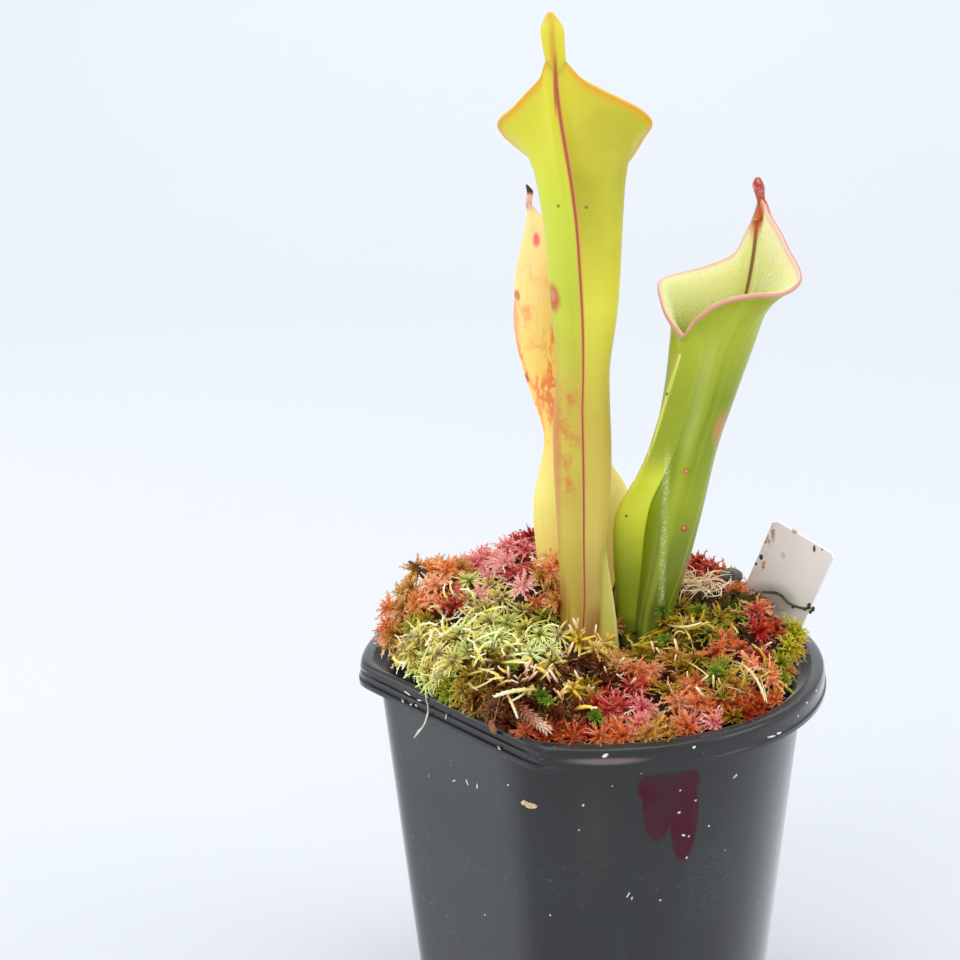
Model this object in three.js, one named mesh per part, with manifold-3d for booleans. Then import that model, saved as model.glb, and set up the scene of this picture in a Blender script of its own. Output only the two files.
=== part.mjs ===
// A marsh pitcher, Heliamphora tatei, growing in live sphagnum moss in a deep plastic nursery pot.
// Millimetres, +Z up. The origin is the middle of the pot's foot, and the plant's best side faces -Y.

import * as THREE from "three";
import { mergeVertices } from "three/addons/utils/BufferGeometryUtils.js";
import Module from "manifold-3d";

const wasm = await Module();
wasm.setup();

const DEGREE = Math.PI / 180;

// Driving dimensions of the pot
const POT_HEIGHT = 100;
const RIM_RADIUS = 52.5;
const BASE_RADIUS = 38.6;
const WALL_TAPER = 0.097;
const WALL = 1.3;
const RIM_INNER_RADIUS = 49.4;
const RIM_CHAMFER_RADIUS = 47.2;
const SKIRT_BOTTOM = 94.6;
const CHANNEL_TOP = 98.2;
const SKIRT_THICKNESS = 1.2;
const FOOT_RADIUS = 12;
const FOOT_LIFT = 1.8;
const FLOOR_TOP = 3.4;
const FLAT_DIRECTION = -138 * DEGREE;
const FLAT_RATIO = 0.868;
const FLAT_RIM_CHORD = 42.7;
const FLAT_CORNER = 2.2;
const POT_SIDES = 40;
const DRAIN_HOLES = 6;
const DRAIN_RADIUS = 4;
const DRAIN_CIRCLE = 24;

// Driving dimensions of what fills the pot
const CLEARANCE = 0.35;
const MOUND_FOOT = 101;
const MOUND_RISE = 17.4;
const MOUND_PEAK_BACK = 18;
const MOUND_FRONT_FALL = 0.21;
const MOUND_BACK_FALL = 0.3;
const MOUND_RADIUS = 47.6;
const MOUND_FULLNESS = 5;
const MOSS_DEPTH = 9;
const PEAT_EDGE_HEIGHT = 93.1;
const STEM_FOOT = 104.3;

// Where the moss cushion swells, and the hollow before the right leaf: x, y, reach and extra height.
const MOUND_SWELLS = [
  [-32, 14, 15, 3.6],
  [-12, 20, 12, 2.6],
  [41, 0, 11, 2.2],
  [8.5, -15, 6, -5],
];

// Driving dimensions of the leaves
const LEAF_WALL = 0.95;
const LIP_THICKNESS = 0.8;
const LEAF_COLUMNS = 16;
const TUBE_RINGS = 9;
const BELL_RINGS = 5;

// Driving dimensions of the label
const LABEL_WIDTH = 16;
const LABEL_THICKNESS = 1;
const LABEL_LENGTH = 62;
const LABEL_CORNER = new THREE.Vector3(41.6, 8, 129.5);
const LABEL_TURN = 30 * DEGREE;
const LABEL_LEAN = 22 * DEGREE;
const LABEL_CLIP = 0.9;
const LABEL_POINT_LENGTH = 20;
const LABEL_POINT_WIDTH = 3;

// Driving dimensions of the moss heads
const HEAD_COUNT = 79;
const HEAD_CROWDING = 0.43;
const HEAD_EDGE_RADIUS = 45.3;
const HEAD_JITTER = 0.8;
const HEAD_SIZE = 5;
const HEAD_SPREAD = 1.7;
const HEAD_LEAN = 0.9;
const HEAD_CROWN = 0.62;
const HEAD_ROOT = -0.8;
const HEAD_NOTCH = 0.55;

// Closed meshes and solids

function closedGeometry(positions, triangles) {
  const geometry = new THREE.BufferGeometry();
  geometry.setAttribute("position", new THREE.Float32BufferAttribute(positions, 3));
  geometry.setIndex(triangles);
  return geometry;
}

function signedVolume(geometry) {
  const place = geometry.getAttribute("position");
  const index = geometry.getIndex();
  const a = new THREE.Vector3();
  const b = new THREE.Vector3();
  const c = new THREE.Vector3();
  let volume = 0;
  for (let i = 0; i < index.count; i += 3) {
    a.fromBufferAttribute(place, index.getX(i));
    b.fromBufferAttribute(place, index.getX(i + 1));
    c.fromBufferAttribute(place, index.getX(i + 2));
    volume += a.dot(b.cross(c)) / 6;
  }
  return volume;
}

function solidOf(geometry) {
  const bare = geometry.clone();
  bare.deleteAttribute("normal");
  bare.deleteAttribute("uv");
  const merged = mergeVertices(bare, 1e-4);
  const triVerts = Uint32Array.from(merged.getIndex().array);
  if (signedVolume(merged) < 0) {
    for (let i = 0; i < triVerts.length; i += 3) {
      [triVerts[i + 1], triVerts[i + 2]] = [triVerts[i + 2], triVerts[i + 1]];
    }
  }
  const vertProperties = Float32Array.from(merged.getAttribute("position").array);
  return new wasm.Manifold(new wasm.Mesh({ numProp: 3, vertProperties, triVerts }));
}

function joined(solids) {
  let group = solids;
  while (group.length > 1) {
    const next = [];
    for (let i = 0; i < group.length; i += 2) {
      next.push(i + 1 < group.length ? group[i].add(group[i + 1]) : group[i]);
    }
    group = next;
  }
  return group[0];
}

function largestBody(solid) {
  const bodies = solid.decompose();
  bodies.sort((one, other) => other.volume() - one.volume());
  return bodies[0];
}

function geometryOf(solid) {
  const mesh = solid.getMesh();
  const geometry = closedGeometry(Array.from(mesh.vertProperties), Array.from(mesh.triVerts));
  geometry.computeVertexNormals();
  return geometry;
}

// A skin through closed rings of points, shut at both ends by fans round the ring's middle.
function lofted(rings) {
  const sides = rings[0].length;
  const positions = [];
  const triangles = [];
  for (const ring of rings) {
    for (const point of ring) {
      positions.push(point.x, point.y, point.z);
    }
  }
  for (let row = 0; row + 1 < rings.length; row += 1) {
    for (let side = 0; side < sides; side += 1) {
      const next = (side + 1) % sides;
      const low = row * sides;
      const high = low + sides;
      triangles.push(low + side, low + next, high + next);
      triangles.push(low + side, high + next, high + side);
    }
  }
  const ends = [[0, true], [rings.length - 1, false]];
  for (const [row, first] of ends) {
    const middle = new THREE.Vector3();
    for (const point of rings[row]) {
      middle.addScaledVector(point, 1 / sides);
    }
    const hub = positions.length / 3;
    positions.push(middle.x, middle.y, middle.z);
    for (let side = 0; side < sides; side += 1) {
      const here = row * sides + side;
      const next = row * sides + (side + 1) % sides;
      if (first) {
        triangles.push(hub, next, here);
      } else {
        triangles.push(hub, here, next);
      }
    }
  }
  return closedGeometry(positions, triangles);
}

// Rows of numbers read along their first column by a smooth cubic through each row.
function readRows(rows, key) {
  const last = rows.length - 1;
  let low = 0;
  while (low < last - 1 && rows[low + 1][0] <= key) {
    low += 1;
  }
  const slope = (row, column) => {
    const before = Math.max(row - 1, 0);
    const after = Math.min(row + 1, last);
    return (rows[after][column] - rows[before][column]) / (rows[after][0] - rows[before][0]);
  };
  const width = rows[low + 1][0] - rows[low][0];
  const t = Math.min(Math.max((key - rows[low][0]) / width, 0), 1);
  return rows[low].map((start, column) => {
    const end = rows[low + 1][column];
    return start * (1 + 2 * t) * (1 - t) ** 2
      + slope(low, column) * width * t * (1 - t) ** 2
      + end * t * t * (3 - 2 * t)
      + slope(low + 1, column) * width * t * t * (t - 1);
  });
}

// The same draw of numbers each time, from a seed.
function seededDraw(seed) {
  let state = seed;
  return () => {
    state = (state * 1664525 + 1013904223) % 4294967296;
    return state / 4294967296;
  };
}

// Finishes of the pieces
const FINISHES = {
  potPlastic: { color: 0x17181a, roughness: 0.42, metalness: 0 },
  peat: { color: 0x3a2a1c, roughness: 0.95, metalness: 0 },
  rhizome: { color: 0x6b4a2c, roughness: 0.85, metalness: 0 },
  frontLeaf: { color: 0xb9bf3c, roughness: 0.42, metalness: 0 },
  rightLeaf: { color: 0x8fae3a, roughness: 0.4, metalness: 0 },
  oldLeaf: { color: 0xd9b763, roughness: 0.5, metalness: 0 },
  label: { color: 0xe6e2dc, roughness: 0.5, metalness: 0 },
  stone: { color: 0x8d8881, roughness: 0.9, metalness: 0 },
  twig: { color: 0x3b2a1e, roughness: 0.9, metalness: 0 },
  rustMoss: { color: 0xc9804a, roughness: 0.9, metalness: 0 },
  paleMoss: { color: 0xc6c476, roughness: 0.9, metalness: 0 },
  redMoss: { color: 0x9c4434, roughness: 0.9, metalness: 0 },
  coralMoss: { color: 0xc06a45, roughness: 0.9, metalness: 0 },
  greenMoss: { color: 0x9ba23c, roughness: 0.9, metalness: 0 },
};

const plant = new THREE.Group();

function addPiece(name, solid, finish) {
  const material = new THREE.MeshStandardMaterial(FINISHES[finish]);
  const mesh = new THREE.Mesh(geometryOf(solid), material);
  mesh.name = name;
  plant.add(mesh);
}

// The pot: a round tapering cup, flattened along one side, with a hooded rim

const cornerTurn = (angle) => Math.cos(angle - FLAT_DIRECTION);

// The reach of a round wall at an angle, cut back by the flat with a rounded corner.
function flattened(radius, chord, angle) {
  const facing = cornerTurn(angle);
  if (facing <= 0.2) {
    return radius;
  }
  const reach = chord / facing;
  const spread = radius - reach;
  return (radius + reach - Math.sqrt(spread * spread + FLAT_CORNER * FLAT_CORNER)) / 2
    + FLAT_CORNER * FLAT_CORNER / (4 * Math.hypot(spread, FLAT_CORNER));
}

function wallRadius(height) {
  return BASE_RADIUS + WALL_TAPER * height;
}

function wallChord(height) {
  return FLAT_RATIO * wallRadius(height);
}

function innerReach(height, angle) {
  return flattened(wallRadius(height) - WALL, wallChord(height) - WALL, angle);
}

// Each row is radius, height, the flat's chord there, and the height on the flat.
function potProfile() {
  const skirtInside = RIM_RADIUS - SKIRT_THICKNESS;
  const channelWall = wallRadius(CHANNEL_TOP);
  const footRing = BASE_RADIUS - 0.8;
  const rows = [
    [0, 0, 0, 0],
    [FOOT_RADIUS, 0, FOOT_RADIUS, 0],
    [FOOT_RADIUS + 1, FOOT_LIFT, FOOT_RADIUS + 1, FOOT_LIFT],
    [footRing - 3, FOOT_LIFT, FLAT_RATIO * footRing - 3, FOOT_LIFT],
    [footRing - 2.2, 0, FLAT_RATIO * footRing - 2.2, 0],
    [footRing, 0, FLAT_RATIO * footRing, 0],
    [wallRadius(1), 1, wallChord(1), 1],
    [wallRadius(SKIRT_BOTTOM - 0.5), SKIRT_BOTTOM - 0.5, wallChord(SKIRT_BOTTOM - 0.5), SKIRT_BOTTOM - 0.5],
    [channelWall, CHANNEL_TOP, wallChord(CHANNEL_TOP) - 0.2, SKIRT_BOTTOM],
    [skirtInside, CHANNEL_TOP, FLAT_RIM_CHORD - 0.5, SKIRT_BOTTOM + 0.1],
    [skirtInside + 0.1, SKIRT_BOTTOM + 0.2, FLAT_RIM_CHORD - 0.3, SKIRT_BOTTOM + 0.05],
    [RIM_RADIUS + 0.35, SKIRT_BOTTOM, FLAT_RIM_CHORD + 0.2, SKIRT_BOTTOM],
    [RIM_RADIUS + 0.4, SKIRT_BOTTOM + 1, FLAT_RIM_CHORD + 0.2, SKIRT_BOTTOM + 1],
    [RIM_RADIUS, SKIRT_BOTTOM + 1.3, FLAT_RIM_CHORD, SKIRT_BOTTOM + 1.3],
    [RIM_RADIUS, POT_HEIGHT - 1.3, FLAT_RIM_CHORD, POT_HEIGHT - 1.3],
    [RIM_RADIUS - 0.4, POT_HEIGHT - 0.35, FLAT_RIM_CHORD - 0.35, POT_HEIGHT - 0.35],
    [RIM_RADIUS - 1.3, POT_HEIGHT, FLAT_RIM_CHORD - 0.9, POT_HEIGHT],
    [RIM_INNER_RADIUS, POT_HEIGHT, FLAT_RIM_CHORD - 1.6, POT_HEIGHT],
    [RIM_CHAMFER_RADIUS, CHANNEL_TOP - 0.3, FLAT_RIM_CHORD - 2.4, CHANNEL_TOP - 0.3],
    [wallRadius(SKIRT_BOTTOM) - WALL, SKIRT_BOTTOM, wallChord(SKIRT_BOTTOM) - WALL, SKIRT_BOTTOM],
    [wallRadius(FLOOR_TOP) - WALL, FLOOR_TOP, wallChord(FLOOR_TOP) - WALL, FLOOR_TOP],
    [0, FLOOR_TOP, 0, FLOOR_TOP],
  ];
  return rows;
}

function potGeometry() {
  const profile = potProfile();
  const points = profile.map(([radius, height]) => new THREE.Vector2(radius, height));
  const geometry = new THREE.LatheGeometry(points, POT_SIDES);
  geometry.rotateX(Math.PI / 2);
  const place = geometry.getAttribute("position");
  for (let i = 0; i < place.count; i += 1) {
    const [radius, height, chord, flatHeight] = profile[i % profile.length];
    const angle = Math.atan2(place.getY(i), place.getX(i));
    if (radius < FOOT_RADIUS + 2) {
      continue;
    }
    const reach = flattened(radius, chord, angle);
    const cut = THREE.MathUtils.smoothstep(radius - reach, 0.4, 3);
    place.setXYZ(i, reach * Math.cos(angle), reach * Math.sin(angle),
      THREE.MathUtils.lerp(height, flatHeight, cut));
  }
  return geometry;
}

function uprightBar(radius, bottom, top, x, y, sides) {
  const bar = new THREE.CylinderGeometry(radius, radius, top - bottom, sides);
  bar.rotateX(Math.PI / 2);
  bar.translate(x, y, (top + bottom) / 2);
  return solidOf(bar);
}

let pot = solidOf(potGeometry());
for (let hole = 0; hole < DRAIN_HOLES; hole += 1) {
  const angle = (hole + 0.5) * 2 * Math.PI / DRAIN_HOLES;
  const x = DRAIN_CIRCLE * Math.cos(angle);
  const y = DRAIN_CIRCLE * Math.sin(angle);
  pot = pot.subtract(uprightBar(DRAIN_RADIUS, -1, FLOOR_TOP + 1, x, y, 12));
}
addPiece("pot", pot, "potPlastic");

// The leaves: hollow pitchers, each a tube that opens into a bell with a small spoon at its back

// Rows of a tube: height, middle x, middle y, half width, half depth, and heading of its back.
// Rows of a mouth: turn from the back, x, y, z, and how far the lip leans out from upright.
const FRONT_LEAF = {
  tube: [
    [104.3, -1.9, -10.6, 4.2, 4.2, -88],
    [112, -1.8, -10.5, 4.9, 4.7, -88],
    [119, -1.5, -10.3, 5.2, 5.0, -88],
    [131, -1.6, -10.1, 5.5, 5.4, -88],
    [143, -1.6, -9.8, 6.1, 5.9, -88],
    [153, -1.7, -9.6, 6.3, 6.1, -88],
    [161, -1.7, -9.5, 6.0, 5.9, -89],
    [169, -1.4, -9.3, 5.7, 5.7, -90],
    [180, -1.1, -9.0, 6.9, 6.6, -93],
    [189, -1.1, -8.8, 7.6, 7.2, -96],
    [199.6, -1.3, -8.5, 8.3, 7.7, -99],
    [206, -1.6, -8.3, 9.0, 8.3, -101],
  ],
  mouth: [
    [0, -6.7, -17.0, 234.0, 0],
    [12, -8.7, -16.6, 233.4, 0],
    [24, -9.8, -15.8, 230.2, 12],
    [40, -12.6, -14.2, 227.0, 28],
    [58, -15.6, -12.2, 223.7, 42],
    [76, -18.0, -10.2, 221.6, 57],
    [92, -18.6, -8.0, 219.6, 66],
    [120, -16.0, -2.0, 215.5, 64],
    [150, -8.6, 2.6, 209.5, 52],
    [180, 0.2, 4.0, 207.0, 45],
    [210, 7.2, 2.2, 209.8, 52],
    [238, 11.6, -2.6, 216.8, 64],
    [266, 12.8, -8.4, 220.2, 66],
    [284, 10.6, -11.2, 222.9, 55],
    [302, 6.9, -13.0, 225.1, 42],
    [320, 2.6, -14.6, 227.4, 28],
    [336, -1.6, -15.8, 230.0, 12],
    [348, -4.6, -16.6, 233.4, 0],
  ],
  spoon: {
    rows: [
      [0, -6.3, -16.6, 229.5, 1.6],
      [0.3, -6.7, -16.9, 233.4, 2.05],
      [0.55, -7.1, -17.1, 236.8, 2.3],
      [0.8, -7.4, -17.0, 240.2, 2.3],
      [0.94, -7.6, -16.8, 242.4, 1.2],
      [1, -7.7, -16.7, 243.4, 0.45],
    ],
    thickness: 1.1,
    cup: 1.0,
    facing: 82,
  },
  wing: [
    [104.3, 6.6, -12.6, 1.6],
    [110, 6.0, -12.3, 1.5],
    [116, 5.3, -12.0, 1.3],
    [122, 4.4, -11.6, 1.1],
    [128.5, 3.4, -11.2, 0.9],
  ],
};

const RIGHT_LEAF = {
  tube: [
    [104.3, 12.2, -9.6, 3.0, 3.2, 20],
    [107, 13.1, -9.6, 3.4, 3.6, 22],
    [115, 14.3, -9.4, 3.9, 4.2, 26],
    [123.4, 16.0, -9.2, 4.9, 5.0, 32],
    [132.7, 17.5, -8.9, 5.8, 5.8, 38],
    [139.6, 18.5, -8.7, 6.4, 6.3, 42],
    [148.6, 20.0, -8.3, 6.8, 6.7, 46],
    [154.5, 21.3, -8.1, 7.1, 7.1, 48],
    [161, 23.0, -7.8, 7.6, 7.6, 50],
    [167.2, 24.5, -7.4, 8.2, 8.2, 50],
    [173, 25.8, -7.0, 8.9, 9.0, 50],
  ],
  mouth: [
    [0, 36.2, -0.6, 203.4, 0],
    [10, 37.3, -2.2, 202.6, 0],
    [20, 38.1, -5.0, 200.2, 12],
    [34, 40.0, -9.0, 197.0, 28],
    [52, 41.4, -13.0, 194.0, 42],
    [74, 43.0, -16.6, 191.0, 58],
    [92, 43.0, -18.6, 188.6, 64],
    [112, 39.6, -20.0, 186.4, 64],
    [134, 33.0, -20.0, 186.0, 60],
    [152, 26.8, -18.8, 184.2, 52],
    [168, 22.0, -16.8, 180.5, 42],
    [180, 19.6, -14.6, 176.6, 34],
    [194, 18.2, -12.0, 177.2, 42],
    [214, 16.5, -7.8, 178.8, 52],
    [238, 15.4, -2.6, 181.0, 60],
    [264, 15.0, 4.2, 184.0, 62],
    [286, 18.0, 7.6, 185.0, 58],
    [310, 24.4, 8.2, 186.6, 42],
    [330, 29.0, 6.8, 188.6, 28],
    [344, 32.3, 4.0, 191.4, 12],
    [353, 34.6, 0.8, 197.6, 0],
  ],
  spoon: {
    rows: [
      [0, 36.2, -0.5, 199.0, 1.1],
      [0.4, 36.3, -0.8, 202.4, 1.0],
      [0.65, 35.9, -1.2, 204.6, 1.3],
      [0.85, 35.6, -1.6, 206.4, 1.5],
      [1, 35.4, -1.8, 208.0, 0.6],
    ],
    thickness: 1.8,
    cup: 0.3,
    facing: 230,
  },
  wing: [
    [104.3, 7.2, -8.2, 2.4],
    [109, 6.1, -7.6, 2.4],
    [115.5, 5.4, -7.0, 2.2],
    [124.7, 4.9, -6.4, 2.2],
    [132, 4.6, -6.4, 2.1],
    [138.6, 6.4, -8.6, 2.0],
    [145.8, 9.9, -12.4, 1.9],
    [152, 12.4, -14.4, 1.8],
    [162, 15.4, -14.9, 1.7],
    [174, 19.0, -14.4, 1.5],
  ],
};

const BACK_LEAF = {
  tube: [
    [104.3, -1.0, 2.4, 3.6, 3.6, 190],
    [112, -1.5, 3.2, 5.4, 5.6, 190],
    [119, -2.2, 4.0, 6.4, 8.8, 190],
    [128, -2.2, 4.6, 6.9, 10.2, 190],
    [137, -2.0, 5.2, 6.9, 10.4, 190],
    [143, -3.0, 5.6, 6.0, 8.0, 190],
    [150, -4.6, 6.2, 5.1, 5.4, 190],
    [157, -6.4, 6.8, 5.4, 5.6, 192],
    [166, -8.8, 7.4, 5.9, 6.1, 194],
    [175, -10.2, 8.0, 6.2, 6.4, 196],
    [184, -9.8, 8.6, 6.3, 6.6, 198],
  ],
  mouth: [
    [0, -13.4, 5.6, 202.0, 0],
    [14, -13.6, 7.2, 200.6, 8],
    [34, -12.4, 10.6, 197.8, 25],
    [60, -8.4, 15.0, 195.0, 45],
    [90, -2.6, 17.4, 193.0, 55],
    [130, 3.0, 13.6, 190.0, 55],
    [180, 4.4, 7.6, 187.6, 45],
    [230, 2.4, 3.2, 190.0, 40],
    [270, -2.8, 2.0, 193.0, 35],
    [300, -7.2, 1.9, 196.0, 28],
    [326, -10.4, 3.0, 198.8, 18],
    [346, -12.6, 4.4, 201.0, 6],
  ],
  spoon: {
    rows: [
      [0, -13.0, 6.0, 199.0, 1.1],
      [0.4, -13.0, 5.9, 202.0, 1.0],
      [0.75, -12.7, 5.8, 204.4, 1.1],
      [1, -13.4, 5.7, 205.9, 0.6],
    ],
    thickness: 1.4,
    cup: 0.3,
    facing: 20,
  },
  wing: null,
};

// Turns round the leaf are closer together near its back, where the spoon's neck is narrow.
function columnTurn(column) {
  const part = column / LEAF_COLUMNS;
  const pinch = 0.62;
  return 360 * (part - pinch * Math.sin(2 * Math.PI * part) / (2 * Math.PI));
}

function tubeRing(row, grow) {
  const [height, x, y, halfWidth, halfDepth, heading] = row;
  const back = new THREE.Vector2(Math.cos(heading * DEGREE), Math.sin(heading * DEGREE));
  const side = new THREE.Vector2(back.y, -back.x);
  const ring = [];
  for (let column = 0; column < LEAF_COLUMNS; column += 1) {
    const turn = columnTurn(column) * DEGREE;
    const deep = (halfDepth + grow) * Math.cos(turn);
    const wide = (halfWidth + grow) * Math.sin(turn);
    ring.push(new THREE.Vector3(x + back.x * deep + side.x * wide, y + back.y * deep + side.y * wide, height));
  }
  return ring;
}

function leafRings(leaf) {
  const rings = [];
  const foot = leaf.tube[0][0];
  const throat = leaf.tube[leaf.tube.length - 1];
  for (let row = 0; row <= TUBE_RINGS; row += 1) {
    const height = foot + (throat[0] - foot) * row / TUBE_RINGS;
    rings.push(tubeRing(readRows(leaf.tube, height), 0));
  }
  const top = rings[rings.length - 1];
  const under = tubeRing(readRows(leaf.tube, throat[0] - 3), 0);
  const first = leaf.mouth[0];
  const lip = [...leaf.mouth, [360, ...first.slice(1)]];
  const rise = top.map((point, column) => point.clone().sub(under[column]).normalize());
  const edge = top.map((point, column) => {
    const [, x, y, z] = readRows(lip, columnTurn(column));
    return new THREE.Vector3(x, y, z);
  });
  const lean = edge.map((point, column) => {
    const angle = readRows(lip, columnTurn(column))[4] * DEGREE;
    const away = new THREE.Vector3(point.x - throat[1], point.y - throat[2], 0);
    away.addScaledVector(new THREE.Vector3(rise[0].x, rise[0].y, 0), -(point.z - throat[0])).setZ(0).normalize();
    return away.multiplyScalar(Math.sin(angle)).setZ(Math.cos(angle));
  });
  for (let row = 1; row <= BELL_RINGS; row += 1) {
    const v = row / BELL_RINGS;
    rings.push(top.map((point, column) => {
      const length = point.distanceTo(edge[column]);
      return point.clone().multiplyScalar((1 + 2 * v) * (1 - v) ** 2)
        .addScaledVector(rise[column], length * v * (1 - v) ** 2)
        .addScaledVector(edge[column], v * v * (3 - 2 * v))
        .addScaledVector(lean[column], length * v * v * (v - 1));
    }));
  }
  return rings;
}

function innerRings(rings) {
  const sides = rings[0].length;
  return rings.map((ring, row) => ring.map((point, column) => {
    const above = rings[Math.min(row + 1, rings.length - 1)][column];
    const below = rings[Math.max(row - 1, 0)][column];
    const next = ring[(column + 1) % sides];
    const before = ring[(column + sides - 1) % sides];
    const along = above.clone().sub(below);
    const around = next.clone().sub(before);
    const inward = around.cross(along).normalize();
    const lip = row / (rings.length - 1);
    const wall = lip > 0.95 ? LIP_THICKNESS : LEAF_WALL;
    return point.clone().addScaledVector(inward, wall);
  }));
}

function spoonSolid(spoon) {
  const facing = new THREE.Vector3(Math.cos(spoon.facing * DEGREE), Math.sin(spoon.facing * DEGREE), 0);
  const across = new THREE.Vector3(-facing.y, facing.x, 0);
  const rings = spoon.rows.map(([, x, y, z, half]) => {
    const middle = new THREE.Vector3(x, y, z);
    const outline = [[-1, 1], [-0.5, 0.3], [0.5, 0.3], [1, 1], [0.55, -0.1], [-0.55, -0.1]];
    return outline.map(([wide, deep], corner) => {
      const front = corner === 1 || corner === 2 ? spoon.thickness : 0;
      const point = middle.clone().addScaledVector(across, wide * half);
      return point.addScaledVector(facing, deep * spoon.cup * Math.min(half, 2) / 2 + front - spoon.thickness / 2);
    });
  });
  return solidOf(lofted(rings));
}

function wingSolid(leaf, grow) {
  const rings = leaf.wing.map(([height, x, y, thickness]) => {
    const tube = readRows(leaf.tube, height);
    const outward = new THREE.Vector3(x - tube[1], y - tube[2], 0);
    const reach = outward.length();
    outward.normalize();
    const across = new THREE.Vector3(-outward.y, outward.x, 0);
    const root = Math.min(tube[3], tube[4]) * 0.55;
    const half = thickness / 2 + grow;
    const corners = [[root, -1.5], [reach * 0.75 + root * 0.25, -1], [reach + grow, -0.45],
      [reach + grow, 0.45], [reach * 0.75 + root * 0.25, 1], [root, 1.5]];
    return corners.map(([along, side]) => new THREE.Vector3(tube[1], tube[2], height)
      .addScaledVector(outward, along)
      .addScaledVector(across, side * half));
  });
  return solidOf(lofted(rings));
}

function leafSolid(leaf) {
  const outer = leafRings(leaf);
  const inner = innerRings(outer);
  const shellRings = [...outer, ...inner.slice(1).reverse()];
  let shell = solidOf(lofted(shellRings));
  const hollow = solidOf(lofted(inner.slice(1, TUBE_RINGS + 2)));
  shell = shell.add(spoonSolid(leaf.spoon));
  if (leaf.wing) {
    shell = shell.add(wingSolid(leaf, 0).subtract(hollow));
  }
  return shell;
}

// The plain hole that a leaf stands in, a little wider than the leaf.
function leafHole(leaf) {
  const rings = [];
  for (let height = STEM_FOOT - CLEARANCE; height < 132; height += 5.5) {
    rings.push(tubeRing(readRows(leaf.tube, height), CLEARANCE + 0.25));
  }
  const hole = solidOf(lofted(rings));
  if (!leaf.wing) {
    return hole;
  }
  return hole.add(wingSolid(leaf, CLEARANCE + 0.1).translate(0, 0, -CLEARANCE));
}

const LEAVES = [["pitcher_front", FRONT_LEAF, "frontLeaf"], ["pitcher_right", RIGHT_LEAF, "rightLeaf"],
  ["pitcher_back", BACK_LEAF, "oldLeaf"]];
for (const [name, leaf, finish] of LEAVES) {
  addPiece(name, leafSolid(leaf), finish);
}

// The crown: a short upright rhizome with a stub under each leaf, and its roots below

function tubeSolid(points, radii, sides) {
  const curve = new THREE.CatmullRomCurve3(points);
  const across = new THREE.Vector3(1, 0.2, 0.1).normalize();
  const rings = radii.map((radius, step) => {
    const part = step / (radii.length - 1);
    const middle = curve.getPoint(part);
    const along = curve.getTangent(part);
    const one = across.clone().cross(along).normalize();
    const other = along.clone().cross(one);
    return Array.from({ length: sides }, (unused, side) => {
      const turn = 2 * Math.PI * side / sides;
      return middle.clone().addScaledVector(one, radius * Math.cos(turn))
        .addScaledVector(other, radius * Math.sin(turn));
    });
  });
  return solidOf(lofted(rings));
}

// A stub rises from the rhizome and ends in a flat top just under its leaf.
function stubSolid(leaf, grow) {
  const foot = leaf.tube[0];
  const radius = Math.min(foot[3], foot[4]) + grow;
  const top = STEM_FOOT - CLEARANCE;
  const rings = [];
  for (const [part, size] of [[0, 0.7], [0.5, 0.95], [1, 1]]) {
    const x = THREE.MathUtils.lerp(CROWN.x, foot[1], part);
    const y = THREE.MathUtils.lerp(CROWN.y, foot[2], part);
    const z = THREE.MathUtils.lerp(CROWN.z, top, part);
    rings.push(Array.from({ length: 8 }, (unused, side) => new THREE.Vector3(
      x + radius * size * Math.cos(side * Math.PI / 4), y + radius * size * Math.sin(side * Math.PI / 4), z)));
  }
  return solidOf(lofted(rings));
}

const CROWN = new THREE.Vector3(3, -5, 90);
const RHIZOME_BOTTOM = new THREE.Vector3(1, -3, 66);
const RHIZOME_RADII = [2.5, 5.5, 6.5, 5.5, 2];
const ROOT_COUNT = 5;
const ROOT_RADIUS = 0.9;

function crownSolid(grow) {
  const rise = [RHIZOME_BOTTOM, RHIZOME_BOTTOM.clone().lerp(CROWN, 0.5).add(new THREE.Vector3(1, 1, 0)), CROWN,
    CROWN.clone().add(new THREE.Vector3(0, 0, 3))];
  const pieces = [tubeSolid(rise, RHIZOME_RADII.map((radius) => radius + grow), 8)];
  for (const [, leaf] of LEAVES) {
    pieces.push(stubSolid(leaf, grow));
  }
  for (let root = 0; root < ROOT_COUNT; root += 1) {
    const angle = (root + 0.3) * 2 * Math.PI / ROOT_COUNT;
    const reach = 17 + 5 * Math.sin(3 * root);
    const depth = 26 + 8 * Math.cos(2 * root);
    const place = (part, bottom) => new THREE.Vector3(
      RHIZOME_BOTTOM.x + reach * part * Math.cos(angle + 0.5 * part),
      RHIZOME_BOTTOM.y + reach * part * Math.sin(angle + 0.5 * part), bottom);
    const path = [place(0, 74), place(0.45, 62), place(0.8, 48), place(1, depth)];
    const radii = [1.3, 1.1, 0.9, 0.6].map((part) => ROOT_RADIUS * part + grow);
    pieces.push(tubeSolid(path, radii, 4));
  }
  return joined(pieces);
}

const crown = crownSolid(0);
addPiece("rhizome_with_roots", crown, "rhizome");

// The label: a thin plastic strip with clipped top corners and a pointed foot, pushed in at a slant

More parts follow.
